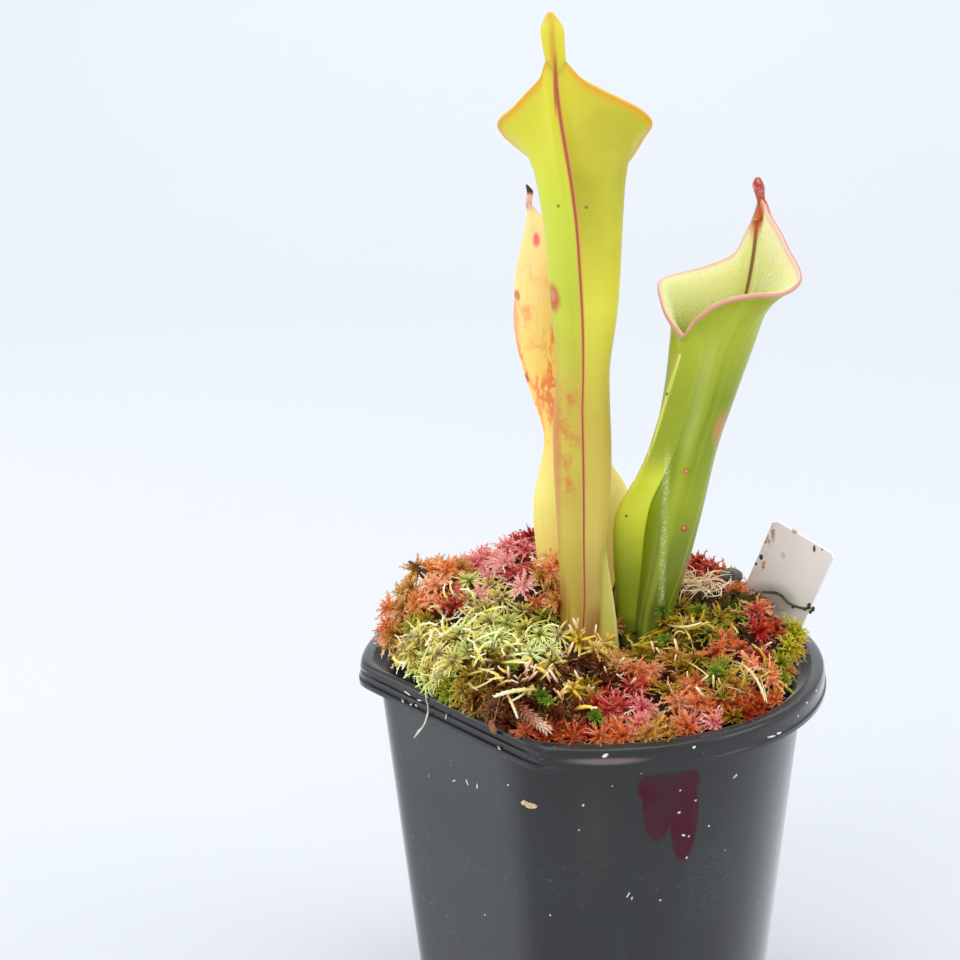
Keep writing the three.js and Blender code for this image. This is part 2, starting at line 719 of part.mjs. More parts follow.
function labelSolid(grow) {
  const half = LABEL_WIDTH / 2;
  const tip = LABEL_POINT_WIDTH / 2;
  const shoulder = LABEL_POINT_LENGTH - LABEL_LENGTH;
  const outline = [[-half + LABEL_CLIP, 0], [half - LABEL_CLIP, 0], [half, -LABEL_CLIP], [half, shoulder],
    [tip, -LABEL_LENGTH], [-tip, -LABEL_LENGTH], [-half, shoulder], [-half, -LABEL_CLIP]];
  const shape = new THREE.Shape(outline.map(([x, y]) => new THREE.Vector2(
    x + Math.sign(x) * grow, y + (y > -LABEL_LENGTH / 2 ? grow : -grow))));
  const depth = LABEL_THICKNESS + 2 * grow;
  const plate = new THREE.ExtrudeGeometry(shape, { depth, bevelEnabled: false });
  plate.translate(half, 0, -depth / 2);
  const across = new THREE.Vector3(Math.cos(LABEL_LEAN) * Math.cos(LABEL_TURN),
    -Math.cos(LABEL_LEAN) * Math.sin(LABEL_TURN), -Math.sin(LABEL_LEAN));
  const upward = new THREE.Vector3(Math.sin(LABEL_LEAN) * Math.cos(LABEL_TURN),
    -Math.sin(LABEL_LEAN) * Math.sin(LABEL_TURN), Math.cos(LABEL_LEAN));
  const facing = across.clone().cross(upward);
  plate.applyMatrix4(new THREE.Matrix4().makeBasis(across, upward, facing));
  plate.translate(LABEL_CORNER.x, LABEL_CORNER.y, LABEL_CORNER.z);
  return solidOf(plate);
}

addPiece("plant_label", labelSolid(0), "label");

// The peat that fills the pot, domed under the moss, with plain holes for what stands in it

function moundTop(x, y) {
  const past = y - MOUND_PEAK_BACK;
  let rise = MOUND_RISE - (past > 0 ? MOUND_BACK_FALL : -MOUND_FRONT_FALL) * past;
  for (const [middleX, middleY, reach, swell] of MOUND_SWELLS) {
    rise += swell * Math.exp(-((x - middleX) ** 2 + (y - middleY) ** 2) / reach ** 2);
  }
  const edge = Math.min(Math.hypot(x, y) / MOUND_RADIUS, 1);
  return MOUND_FOOT + rise * Math.sqrt(1 - edge ** MOUND_FULLNESS);
}

const FILL_SIDES = POT_SIDES / 2;

const BED_SHARES = [0.97, 0.85, 0.6, 0.25];
const FILL_INSET = 0.5;

// A ring inside the pot's wall, at a share of the way out and at the height that a rule gives.
function fillRing(share, heightAt) {
  return Array.from({ length: FILL_SIDES }, (unused, side) => {
    const angle = 2 * Math.PI * side / FILL_SIDES;
    const low = Math.min(heightAt(0, 0), SKIRT_BOTTOM);
    const reach = (innerReach(low, angle) - FILL_INSET) * share;
    const x = reach * Math.cos(angle);
    const y = reach * Math.sin(angle);
    return new THREE.Vector3(x, y, heightAt(x, y));
  });
}

function fillSolid(raise) {
  const rings = [fillRing(1, () => FLOOR_TOP + CLEARANCE), fillRing(1, () => SKIRT_BOTTOM - 3 + raise)];
  for (const share of BED_SHARES) {
    rings.push(fillRing(share, (x, y) => peatTop(x, y) + raise));
  }
  return solidOf(lofted(rings));
}

function peatTop(x, y) {
  return Math.max(moundTop(x, y) - MOSS_DEPTH, PEAT_EDGE_HEIGHT);
}

// What has blown onto the moss: a small stone and a bit of dead twig, each bedded half way into it

const STONE = new THREE.Vector3(31.4, 12.5, 0);
const STONE_SIZE = new THREE.Vector3(2.7, 2.3, 2);
const TWIG_ENDS = [new THREE.Vector3(-40.5, 9, 0), new THREE.Vector3(-35, 13, 0)];
const TWIG_RADIUS = 0.6;
const TWIG_THICKNESS = [0.8, 1, 0.75];
const TWIG_LIFT = [2.5, 1.9, 1.3];

function stoneSolid(grow) {
  const lump = new THREE.DodecahedronGeometry(1, 0);
  lump.scale(STONE_SIZE.x + grow, STONE_SIZE.y + grow, STONE_SIZE.z + grow);
  lump.rotateZ(0.6);
  lump.translate(STONE.x, STONE.y, moundTop(STONE.x, STONE.y) + STONE_SIZE.z);
  return solidOf(lump);
}

function twigSolid(grow) {
  const middle = TWIG_ENDS[0].clone().lerp(TWIG_ENDS[1], 0.5);
  const along = TWIG_ENDS[1].clone().sub(TWIG_ENDS[0]).normalize();
  const path = [TWIG_ENDS[0], middle, TWIG_ENDS[1]].map((spot, step) => {
    const height = moundTop(middle.x, middle.y) + TWIG_LIFT[step];
    return spot.clone().setZ(height).addScaledVector(along, grow * (step - 1));
  });
  return tubeSolid(path, TWIG_THICKNESS.map((part) => TWIG_RADIUS * part + grow), 6);
}

addPiece("stone", stoneSolid(0), "stone");
addPiece("twig", twigSolid(0), "twig");

// The plain holes in peat and moss for all that stands or lies in them
const holes = joined([...LEAVES.map(([, leaf]) => leafHole(leaf)), crownSolid(CLEARANCE), labelSolid(CLEARANCE),
  stoneSolid(CLEARANCE), twigSolid(CLEARANCE)]);
const peat = largestBody(fillSolid(0).subtract(holes));
addPiece("growing_medium", peat, "peat");

// The moss: beds of one colour each, set close side by side, and covered with starry heads

// Each bed is its name, its middle and its finish.
const MOSS_BEDS = [
  ["moss_rust", -30, 22, "rustMoss"],
  ["moss_pale", -22, -16, "paleMoss"],
  ["moss_red", 2, -36, "redMoss"],
  ["moss_coral", 26, -22, "coralMoss"],
  ["moss_green", 30, 14, "greenMoss"],
];
const BED_GAP = 0.35;

// The mat's top: shares of the way out to the wall, and how far it lies under the heads there.
const MAT_RINGS = [[0.95, 3], [0.84, 1], [0.7, 1], [0.52, 1], [0.3, 1]];

// A head is a closed star, a unit wide: a crown, a root under it, and pointed arms with notches between.
function starHead(x, y, size, tilt, turn, arms, seed) {
  const draw = seededDraw(seed);
  const positions = [0, 0, HEAD_CROWN, 0, 0, HEAD_ROOT];
  for (let arm = 0; arm < arms; arm += 1) {
    const angle = arm * 2 * Math.PI / arms + 0.3 * (draw() - 0.5);
    const gap = angle + Math.PI / arms;
    const tip = 0.9 + 0.25 * draw();
    const sag = arm % 2 === 0 ? 0.3 * draw() : -0.1 - 0.3 * draw();
    positions.push(tip * Math.cos(angle), tip * Math.sin(angle), sag);
    positions.push(HEAD_NOTCH * Math.cos(gap), HEAD_NOTCH * Math.sin(gap), 0);
  }
  const triangles = [];
  const corners = 2 * arms;
  for (let corner = 0; corner < corners; corner += 1) {
    const here = 2 + corner;
    const next = 2 + (corner + 1) % corners;
    triangles.push(0, here, next, 1, next, here);
  }
  const star = closedGeometry(positions, triangles);
  star.scale(size, size, size);
  star.rotateZ(turn);
  star.rotateX(tilt.y);
  star.rotateY(tilt.x);
  star.translate(x, y, moundTop(x, y));
  return solidOf(star);
}

// Heads stand on a sunflower's spiral, jittered, so that they cover the mound evenly.
function headPlaces() {
  const draw = seededDraw(11);
  const golden = Math.PI * (3 - Math.sqrt(5));
  const places = [];
  for (let head = 0; head < HEAD_COUNT; head += 1) {
    const reach = HEAD_EDGE_RADIUS * ((head + 0.5) / HEAD_COUNT) ** HEAD_CROWDING;
    const angle = head * golden;
    const x = reach * Math.cos(angle) + HEAD_JITTER * (2 * draw() - 1);
    const y = reach * Math.sin(angle) + HEAD_JITTER * (2 * draw() - 1);
    places.push([x, y, HEAD_SIZE + HEAD_SPREAD * draw(), 2 * Math.PI * draw(), 6 + Math.floor(2 * draw())]);
  }
  return places;
}

function nearestBed(x, y) {
  let best = 0;
  MOSS_BEDS.forEach(([, bedX, bedY], bed) => {
    if (Math.hypot(x - bedX, y - bedY) < Math.hypot(x - MOSS_BEDS[best][1], y - MOSS_BEDS[best][2])) {
      best = bed;
    }
  });
  return best;
}

// What lies on a neighbour's side of the line half way between two beds.
function farSide(bed, other) {
  const [, x, y] = MOSS_BEDS[bed];
  const [, otherX, otherY] = MOSS_BEDS[other];
  const apart = Math.hypot(otherX - x, otherY - y);
  const block = new THREE.BoxGeometry(200, 200, 100);
  block.translate(100 + apart / 2 - BED_GAP / 2, 0, POT_HEIGHT + 10);
  block.rotateZ(Math.atan2(otherY - y, otherX - x));
  block.translate(x, y, 0);
  return solidOf(block);
}

// The bed itself: a mat between the peat and the heads, out to the pot's rim.
function matSolid() {
  const rings = [];
  for (const share of [...BED_SHARES].reverse()) {
    rings.push(fillRing(share, (x, y) => peatTop(x, y) - 1));
  }
  rings.push(fillRing(0.985, () => POT_HEIGHT - 3));
  for (const [share, sink] of MAT_RINGS) {
    rings.push(fillRing(share, (x, y) => moundTop(x, y) - sink));
  }
  return solidOf(lofted(rings));
}

// The pot's room as the moss meets it: nothing of the moss crosses the wall or the rim.
function potRoom() {
  const ring = (inset, height) => Array.from({ length: POT_SIDES }, (unused, side) => {
    const angle = 2 * Math.PI * side / POT_SIDES;
    const reach = innerReach(SKIRT_BOTTOM, angle) - inset;
    return new THREE.Vector3(reach * Math.cos(angle), reach * Math.sin(angle), height);
  });
  const rings = [ring(0.6, SKIRT_BOTTOM - 20), ring(CLEARANCE, CHANNEL_TOP - 1), ring(-1.4, POT_HEIGHT + 0.4),
    ring(-4.2, POT_HEIGHT + 0.5), ring(-4.2, POT_HEIGHT + 60)];
  return solidOf(lofted(rings));
}

const mat = matSolid();
const underside = fillSolid(CLEARANCE).add(holes);
const room = potRoom();
const heads = headPlaces();
MOSS_BEDS.forEach(([name, , , finish], bed) => {
  const tufts = [];
  heads.forEach(([x, y, size, turn, arms], head) => {
    if (nearestBed(x, y) !== bed) {
      return;
    }
    const lean = new THREE.Vector2(x, -y).multiplyScalar(HEAD_LEAN / MOUND_RADIUS);
    tufts.push(starHead(x, y, size, lean, turn, arms, 100 + head));
  });
  let cover = joined([mat, ...tufts]).intersect(room);
  MOSS_BEDS.forEach((unused, other) => {
    if (other !== bed) {
      cover = cover.subtract(farSide(bed, other));
    }
  });
  addPiece(name, largestBody(cover.subtract(underside)), finish);
});

export default plant;
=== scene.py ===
import math
import random
from collections import namedtuple

import bpy
import numpy as np
from mathutils import Matrix, Vector


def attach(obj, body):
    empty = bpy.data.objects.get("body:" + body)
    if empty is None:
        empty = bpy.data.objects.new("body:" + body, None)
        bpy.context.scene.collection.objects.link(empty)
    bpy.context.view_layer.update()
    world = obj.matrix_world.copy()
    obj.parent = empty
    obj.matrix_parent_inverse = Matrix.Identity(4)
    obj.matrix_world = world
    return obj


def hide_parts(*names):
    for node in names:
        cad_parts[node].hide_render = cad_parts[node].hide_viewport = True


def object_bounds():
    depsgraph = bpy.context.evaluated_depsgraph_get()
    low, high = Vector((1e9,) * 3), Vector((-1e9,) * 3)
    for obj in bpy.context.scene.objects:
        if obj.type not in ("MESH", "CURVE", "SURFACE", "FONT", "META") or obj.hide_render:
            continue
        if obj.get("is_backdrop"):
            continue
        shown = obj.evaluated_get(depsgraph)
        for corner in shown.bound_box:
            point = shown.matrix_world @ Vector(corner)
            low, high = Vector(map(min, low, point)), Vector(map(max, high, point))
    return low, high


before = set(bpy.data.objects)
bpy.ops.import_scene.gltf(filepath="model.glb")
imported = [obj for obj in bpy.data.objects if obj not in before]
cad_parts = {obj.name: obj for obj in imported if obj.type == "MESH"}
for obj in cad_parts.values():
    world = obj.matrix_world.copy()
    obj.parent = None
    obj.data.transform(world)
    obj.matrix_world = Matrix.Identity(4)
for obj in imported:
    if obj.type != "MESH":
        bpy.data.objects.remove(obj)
cad_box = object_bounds()
MM = 0.001


# The pot: a deep nursery pot of black polypropylene, injection moulded as one piece.
# Its rim is a hood that hangs outside the wall, and one side is pressed flat, with low ridges
# along the flat's rim. Six drain holes are moulded through the floor.

pot_height = 100
rim_radius = 52.5
base_radius = 38.6
wall_taper = 0.097
wall_thickness = 1.3
skirt_bottom = 94.6
skirt_thickness = 1.2
channel_top = 98.2
foot_radius = 12
foot_lift = 1.8
floor_top = 3.4
flat_direction = math.radians(-138)
flat_ratio = 0.868
flat_rim_chord = 42.7
flat_corner = 2.2
ridge_depth = 0.55
pot_steps = 176
drain_holes = 6
drain_radius = 4
drain_circle = 24
drill_length = 8
# Where the painted shade inside the rim begins, and where it is full: reach, inset from the flat, and rise.
rim_shade_reach = (50, 49.2)
rim_shade_inset = (2.4, 3.2)
rim_shade_rise = (0.4, 1.2)


def wall_radius(height):
    return base_radius + wall_taper * height


def wall_chord(height):
    return flat_ratio * wall_radius(height)


def flattened(radius, chord, angle):
    """The reach of a round wall at an angle, cut back by the flat with a rounded corner."""
    facing = math.cos(angle - flat_direction)
    if facing <= 0.2:
        return radius
    reach = chord / facing
    spread = radius - reach
    soft = flat_corner * flat_corner
    rounded = (radius + reach - math.sqrt(spread * spread + soft)) / 2
    return rounded + soft / (4 * math.hypot(spread, flat_corner))


def pot_outline():
    """The wall's rows, from the foot round to the floor: radius, height, chord, and height on the flat."""
    inside = rim_radius - skirt_thickness
    foot = base_radius - 0.8
    low, high = skirt_bottom, pot_height
    rows = [
        (foot_radius, 0, foot_radius, 0),
        (foot_radius + 1, foot_lift, foot_radius + 1, foot_lift),
        (foot - 3, foot_lift, flat_ratio * foot - 3, foot_lift),
        (foot - 2.2, 0, flat_ratio * foot - 2.2, 0),
        (foot, 0, flat_ratio * foot, 0),
    ]
    for height in (1, 25, 50, 75, low - 0.5):
        rows.append((wall_radius(height), height, wall_chord(height), height))
    rows += [
        (wall_radius(channel_top), channel_top, wall_chord(channel_top) - 0.2, low),
        (inside, channel_top, flat_rim_chord - 0.5, low + 0.1),
        (inside + 0.1, low + 0.2, flat_rim_chord - 0.3, low + 0.05),
        (rim_radius + 0.35, low, flat_rim_chord + 0.2, low),
        (rim_radius + 0.4, low + 1, flat_rim_chord + 0.2, low + 1),
        (rim_radius, low + 1.3, flat_rim_chord - ridge_depth, low + 1.25),
        (rim_radius, low + 1.9, flat_rim_chord - ridge_depth, low + 2.2),
        (rim_radius, low + 2.2, flat_rim_chord, low + 2.4),
        (rim_radius, low + 2.6, flat_rim_chord, low + 2.9),
        (rim_radius, low + 2.9, flat_rim_chord - ridge_depth, low + 3.1),
        (rim_radius, low + 3.4, flat_rim_chord - ridge_depth, low + 3.9),
        (rim_radius, high - 1.3, flat_rim_chord, high - 1.3),
        (rim_radius - 0.35, high - 0.4, flat_rim_chord - 0.3, high - 0.4),
        (rim_radius - 1.2, high, flat_rim_chord - 0.9, high),
        (rim_radius - 3.1, high, flat_rim_chord - 1.6, high),
        (rim_radius - 5.3, channel_top - 0.3, flat_rim_chord - 2.4, channel_top - 0.3),
        (wall_radius(low) - wall_thickness, low, wall_chord(low) - wall_thickness, low),
        (wall_radius(floor_top) - wall_thickness, floor_top,
         wall_chord(floor_top) - wall_thickness, floor_top),
    ]
    return rows


def turned_pot(name):
    """The outline drawn point by point, spun round the upright axis, then pressed flat on one side."""
    rows = pot_outline()
    outline = [(0, 0)] + [row[:2] for row in rows] + [(0, floor_top)]
    bpy.ops.object.select_all(action="DESELECT")
    bpy.ops.mesh.primitive_plane_add(size=MM)
    piece = bpy.context.active_object
    piece.name = name
    bpy.ops.object.mode_set(mode="EDIT")
    bpy.ops.mesh.merge(type="CENTER")
    for here, there in zip(outline, outline[1:]):
        step = ((there[0] - here[0]) * MM, 0, (there[1] - here[1]) * MM)
        bpy.ops.mesh.extrude_vertices_move(TRANSFORM_OT_translate={"value": step})
    bpy.ops.mesh.select_all(action="SELECT")
    bpy.ops.mesh.spin(steps=pot_steps, angle=2 * math.pi, center=(0, 0, 0), axis=(0, 0, 1))
    bpy.ops.mesh.remove_doubles(threshold=0.01 * MM)
    bpy.ops.mesh.normals_make_consistent(inside=False)
    bpy.ops.object.mode_set(mode="OBJECT")
    for vertex in piece.data.vertices:
        radius = math.hypot(vertex.co.x, vertex.co.y) / MM
        if radius < foot_radius + 2:
            continue
        row = min(rows, key=lambda row: abs(row[0] - radius) + abs(row[1] - vertex.co.z / MM))
        angle = math.atan2(vertex.co.y, vertex.co.x)
        reach = flattened(row[0], row[2], angle)
        cut = min(max((row[0] - reach - 0.4) / 2.6, 0), 1)
        cut = cut * cut * (3 - 2 * cut)
        height = row[1] + (row[3] - row[1]) * cut
        vertex.co = Vector((reach * math.cos(angle), reach * math.sin(angle), height)) * MM
    return piece


def apply(piece, kind, **settings):
    """One modifier, set and applied."""
    bpy.context.view_layer.objects.active = piece
    modifier = piece.modifiers.new(kind.title(), kind)
    for name, value in settings.items():
        setattr(modifier, name, value)
    bpy.ops.object.modifier_apply(modifier=modifier.name)


def drill_drains(piece):
    bpy.ops.object.select_all(action="DESELECT")
    bits = []
    for hole in range(drain_holes):
        angle = (hole + 0.5) * 2 * math.pi / drain_holes
        place = (drain_circle * math.cos(angle) * MM, drain_circle * math.sin(angle) * MM, floor_top / 2 * MM)
        bpy.ops.mesh.primitive_cylinder_add(vertices=32, radius=drain_radius * MM, depth=drill_length * MM,
                                            location=place)
        bits.append(bpy.context.active_object)
    for bit in bits:
        bit.select_set(True)
    bpy.context.view_layer.objects.active = bits[0]
    bpy.ops.object.join()
    cutter = bpy.context.active_object
    apply(piece, "BOOLEAN", operation="DIFFERENCE", solver="EXACT", object=cutter)
    bpy.data.objects.remove(cutter)


def colour(code):
    """A colour given as #rrggbb, as the shader counts light."""
    parts = [int(code[place:place + 2], 16) / 255 for place in (1, 3, 5)]
    return tuple(((part + 0.055) / 1.055) ** 2.4 if part > 0.04045 else part / 12.92 for part in parts) + (1,)


class Wire:
    """A value inside a finish. Sums written with it add the Math nodes that work them out."""

    def __init__(self, finish, socket):
        self.finish = finish
        self.socket = socket

    def math(self, operation, *values):
        return self.finish.node("Math", {"operation": operation}, dict(enumerate(values)))

    def __add__(self, other):
        return self.math("ADD", self, other)

    def __sub__(self, other):
        return self.math("SUBTRACT", self, other)

    def __mul__(self, other):
        return self.math("MULTIPLY", self, other)

    def __pow__(self, other):
        return self.math("POWER", self, other)

    def __abs__(self):
        return self.math("ABSOLUTE", self)

    __radd__ = __add__
    __rmul__ = __mul__

    def most(self, other):
        return self.math("MAXIMUM", self, other)

    def eased(self, low, high):
        """0 at low, 1 at high, and smooth between, whichever is larger."""
        values = {"Value": self, "From Min": low, "From Max": high}
        return self.finish.node("MapRange", {"interpolation_type": "SMOOTHSTEP"}, values)


class Finish:
    """A material made node by node round one Principled shader."""

    def __init__(self, name, **uniform):
        self.material = bpy.data.materials.new(name)
        self.material.use_nodes = True
        self.tree = self.material.node_tree
        self.shader = self.tree.nodes["Principled BSDF"]
        self.set(**uniform)

    def node(self, kind, settings=None, inputs=None, output=0):
        made = self.tree.nodes.new("ShaderNode" + kind)
        for name, value in (settings or {}).items():
            if name == "stops":
                self.set_stops(made.color_ramp, value)
            else:
                setattr(made, name, value)
        for name, value in (inputs or {}).items():
            self.feed(made.inputs[name], value)
        return Wire(self, made.outputs[output])

    def feed(self, socket, value):
        if isinstance(value, Wire):
            self.tree.links.new(value.socket, socket)
        else:
            socket.default_value = value

    def set_stops(self, ramp, stops):
        while len(ramp.elements) < len(stops):
            ramp.elements.new(1)
        for element, (place, code) in zip(ramp.elements, stops):
            element.position = place
            element.color = colour(code)

    def set(self, **values):
        for name, value in values.items():
            self.feed(self.shader.inputs[name.replace("_", " ").title().replace("Ior", "IOR")], value)

    def place(self):
        return self.node("TexCoord", output=3)

    def axis(self, number):
        return self.node("SeparateXYZ", inputs={0: self.place()}, output=number)

    def scaled(self, x, y, z):
        """Object coordinates stretched along each axis."""
        return self.node("VectorMath", {"operation": "MULTIPLY"}, {0: self.place(), 1: (x, y, z)})

    def noise(self, scale, detail=2, roughness=0.5, vector=None):
        values = {"Vector": vector or self.place(), "Scale": scale, "Detail": detail, "Roughness": roughness}
        return self.node("TexNoise", inputs=values)

    def specks(self, scale, size, vector=None):
        """Scattered round specks: 1 inside each."""
        values = {"Vector": vector or self.place(), "Scale": scale}
        return self.node("TexVoronoi", inputs=values).eased(size, size * 0.6)

    def ramp(self, value, stops):
        return self.node("ValToRGB", {"stops": stops}, {"Fac": value})

    def mix(self, factor, one, other):
        one = colour(one) if isinstance(one, str) else one
        other = colour(other) if isinstance(other, str) else other
        return self.node("Mix", {"data_type": "RGBA"}, {0: factor, 6: one, 7: other}, output=2)

    def ball(self, centre, size, soft=0.5, wobble=0):
        """1 inside an egg shape round a place, both in millimetres, fading over its outer share."""
        where = self.place()
        if wobble:
            shift = self.node("TexNoise", inputs={"Vector": where, "Scale": 350}, output=1)
            shift = self.node("VectorMath", {"operation": "SUBTRACT"}, {0: shift, 1: (0.5, 0.5, 0.5)})
            shift = self.node("VectorMath", {"operation": "SCALE"}, {0: shift, "Scale": wobble * MM})
            where = self.node("VectorMath", {"operation": "ADD"}, {0: where, 1: shift})
        centre = tuple(value * MM for value in centre)
        stretch = tuple(1 / (value * MM) for value in size)
        apart = self.node("VectorMath", {"operation": "SUBTRACT"}, {0: where, 1: centre})
        apart = self.node("VectorMath", {"operation": "MULTIPLY"}, {0: apart, 1: stretch})
        length = self.node("VectorMath", {"operation": "LENGTH"}, {0: apart}, output=1)
        return length.eased(1, 1 - soft)

    def spots(self, body, rows, soft, wobble):
        """Spots laid one by one over a colour, each by its place, size, colour and strength."""
        for centre, size, shade, strength in rows:
            body = self.mix(self.ball(centre, size, soft, wobble) * strength, body, shade)
        return body

    def bump(self, height, strength=0.5, distance=0.1):
        values = {"Height": height, "Strength": strength, "Distance": distance * MM}
        return self.node("Bump", inputs=values)


def clothe(piece, body, slot, *nodes):
    """The piece rides on the body and stands for the nodes; the slot is not used."""
    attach(piece, body)
    if nodes:
        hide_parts(*nodes)


def pot_finish():
    """Black satin plastic, with moulding grain, dried water marks, a maroon patch and painted light."""
    finish = Finish("black_polypropylene", specular_ior_level=0.55, sheen_weight=1, sheen_roughness=0.3)
    height = finish.axis(2)
    cloud = finish.noise(30, 4)
    grain = finish.noise(2600, 2)
    streak = finish.noise(160, 3, vector=finish.scaled(1, 1, 0.04))
    body = finish.ramp(cloud, [(0.3, "#101111"), (0.7, "#1b1d1e")])
    body = finish.mix(streak.eased(0.55, 0.75) * 0.25, body, "#303335")
    # Painted reflection: a faint warm band down the front of the wall.
    painted_reflection = finish.ball((0.5, -46, 80), (6, 8, 26), 1)
    body = finish.mix(painted_reflection * 0.3, body, "#3e3432")
    # Painted highlight: a pale pinkish band across the front of the rim's skirt.
    painted_skirt_highlight = finish.ball((3, -52, 97.4), (11, 4, 1), 0.7)
    body = finish.mix(painted_skirt_highlight * 0.6, body, "#8e7a74")
    dust = finish.specks(420, 0.06) * finish.noise(45, 2).eased(0.52, 0.62)
    film = finish.noise(900, 3).eased(0.62, 0.75) * finish.noise(60, 3).eased(0.5, 0.7)
    greyed_patch = finish.ball((26, -37, 62), (9, 12, 15), 0.7)
    drops = finish.noise(1300, 2).eased(0.52, 0.58) * greyed_patch
    body = finish.mix(greyed_patch * 0.5, body, "#2e3131")
    body = finish.mix(film * 0.18, body, "#8b8f92")
    body = finish.mix(dust * 0.7, body, "#c9cbc6")
    body = finish.mix(drops * 0.7, body, "#060707")
    # A maroon patch under the rim, cut off sharply at its top; it also shines in its own colour.
    maroon_patch = finish.ball((16, -44, 88.6), (7.4, 8, 5), 0.15, 1)
    maroon_patch = maroon_patch.most(finish.ball((13.8, -44, 84), (3.7, 6, 9.5), 0.2, 1))
    maroon_patch = maroon_patch.most(finish.ball((19.4, -42, 80.5), (3.4, 6, 12.5), 0.2, 1))
    maroon_patch = maroon_patch * height.eased(91.6 * MM, 91 * MM) * (height.eased(92 * MM, 87 * MM) * 0.4 + 0.6)
    maroon_patch = maroon_patch * (finish.noise(110, 4).eased(0.3, 0.6) * 0.35 + 0.65)
    body = finish.mix(maroon_patch, body, "#4e1428")
    out, deep = finish.axis(0), finish.axis(1)
    rim_shade = (out * out + deep * deep).eased((rim_shade_reach[0] * MM) ** 2, (rim_shade_reach[1] * MM) ** 2)
    from_flat = out * math.cos(flat_direction) + deep * math.sin(flat_direction)
    inset_from, inset_full = (flat_rim_chord - inset for inset in rim_shade_inset)
    rim_shade = rim_shade * from_flat.eased(inset_from * MM, inset_full * MM)
    rise_from, rise_full = (skirt_bottom + rise for rise in rim_shade_rise)
    rim_shade = rim_shade * height.eased(rise_from * MM, rise_full * MM)
    # Painted shade: the inner face of the wall above the moss goes near-black.
    body = finish.mix(rim_shade * 0.85, body, "#050404")
    worn = cloud * 0.12 + film * 0.25 + dust * 0.3 + rim_shade * 0.35
    relief = finish.bump(grain + streak + drops * 4, 0.12, 0.05)
    finish.set(base_color=body, metallic=maroon_patch * 0.8, roughness=worn + 0.17, normal=relief)
    return finish.material


nursery_pot = turned_pot("nursery_pot")
drill_drains(nursery_pot)
apply(nursery_pot, "BEVEL", width=0.3 * MM, segments=2, limit_method="ANGLE", angle_limit=math.radians(28))
bpy.ops.object.select_all(action="DESELECT")
nursery_pot.select_set(True)
bpy.ops.object.shade_smooth_by_angle(angle=math.radians(35))
nursery_pot.data.materials.append(pot_finish())
clothe(nursery_pot, "root", "pot_plastic", "pot")


# The peat: the growing mix that fills the pot under the moss, packed in by hand.
# It is dark, fibrous and damp, with pale grains of grit in it.

def peat_finish():
    finish = Finish("damp_peat")
    crumb = finish.noise(700, 5, 0.7)
    grit = finish.specks(300, 0.12)
    body = finish.ramp(crumb, [(0.3, "#120c08"), (0.55, "#2c1d13"), (0.8, "#4d3826")])
    body = finish.mix(grit * 0.5, body, "#a79a84")
    finish.set(base_color=body, roughness=crumb * 0.2 + 0.75, normal=finish.bump(crumb, 0.9, 0.8))
    return finish.material


def dress_node(node, material):
    """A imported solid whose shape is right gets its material."""
    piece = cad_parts[node]
    piece.data.materials.clear()
    piece.data.materials.append(material)


dress_node("growing_medium", peat_finish())


# The rhizome: the plant's short woody stem, with a stub under each leaf and wiry roots.
# It lies in the peat and holds the leaves' feet.

def rhizome_finish():
    finish = Finish("brown_rhizome")
    bark = finish.noise(500, 4, vector=finish.scaled(1, 1, 0.25))
    body = finish.ramp(bark, [(0.3, "#38220f"), (0.6, "#6b4a2c"), (0.85, "#94704a")])
    finish.set(base_color=body, roughness=bark * 0.3 + 0.6, normal=finish.bump(bark, 0.8, 0.5))
    return finish.material


dress_node("rhizome_with_roots", rhizome_finish())


# The front pitcher: the tallest leaf, rolled by growth into a tube that opens in a bell.
# It is seen from its back: a thin, lit-through yellow-green wall with a raised red midrib,
# an orange lip, and a small hooded spoon at the top. Its foot is clasped by a pale sheath.

leaf_columns = 144
tube_steps = 70
bell_steps = 26
leaf_wall = 0.95
lip_thickness = 0.8
lip_roll = 0.42
lip_fullness = 1.25
rib_height = 0.3
wing_spread = math.radians(34)
spoon_sink = 1.5

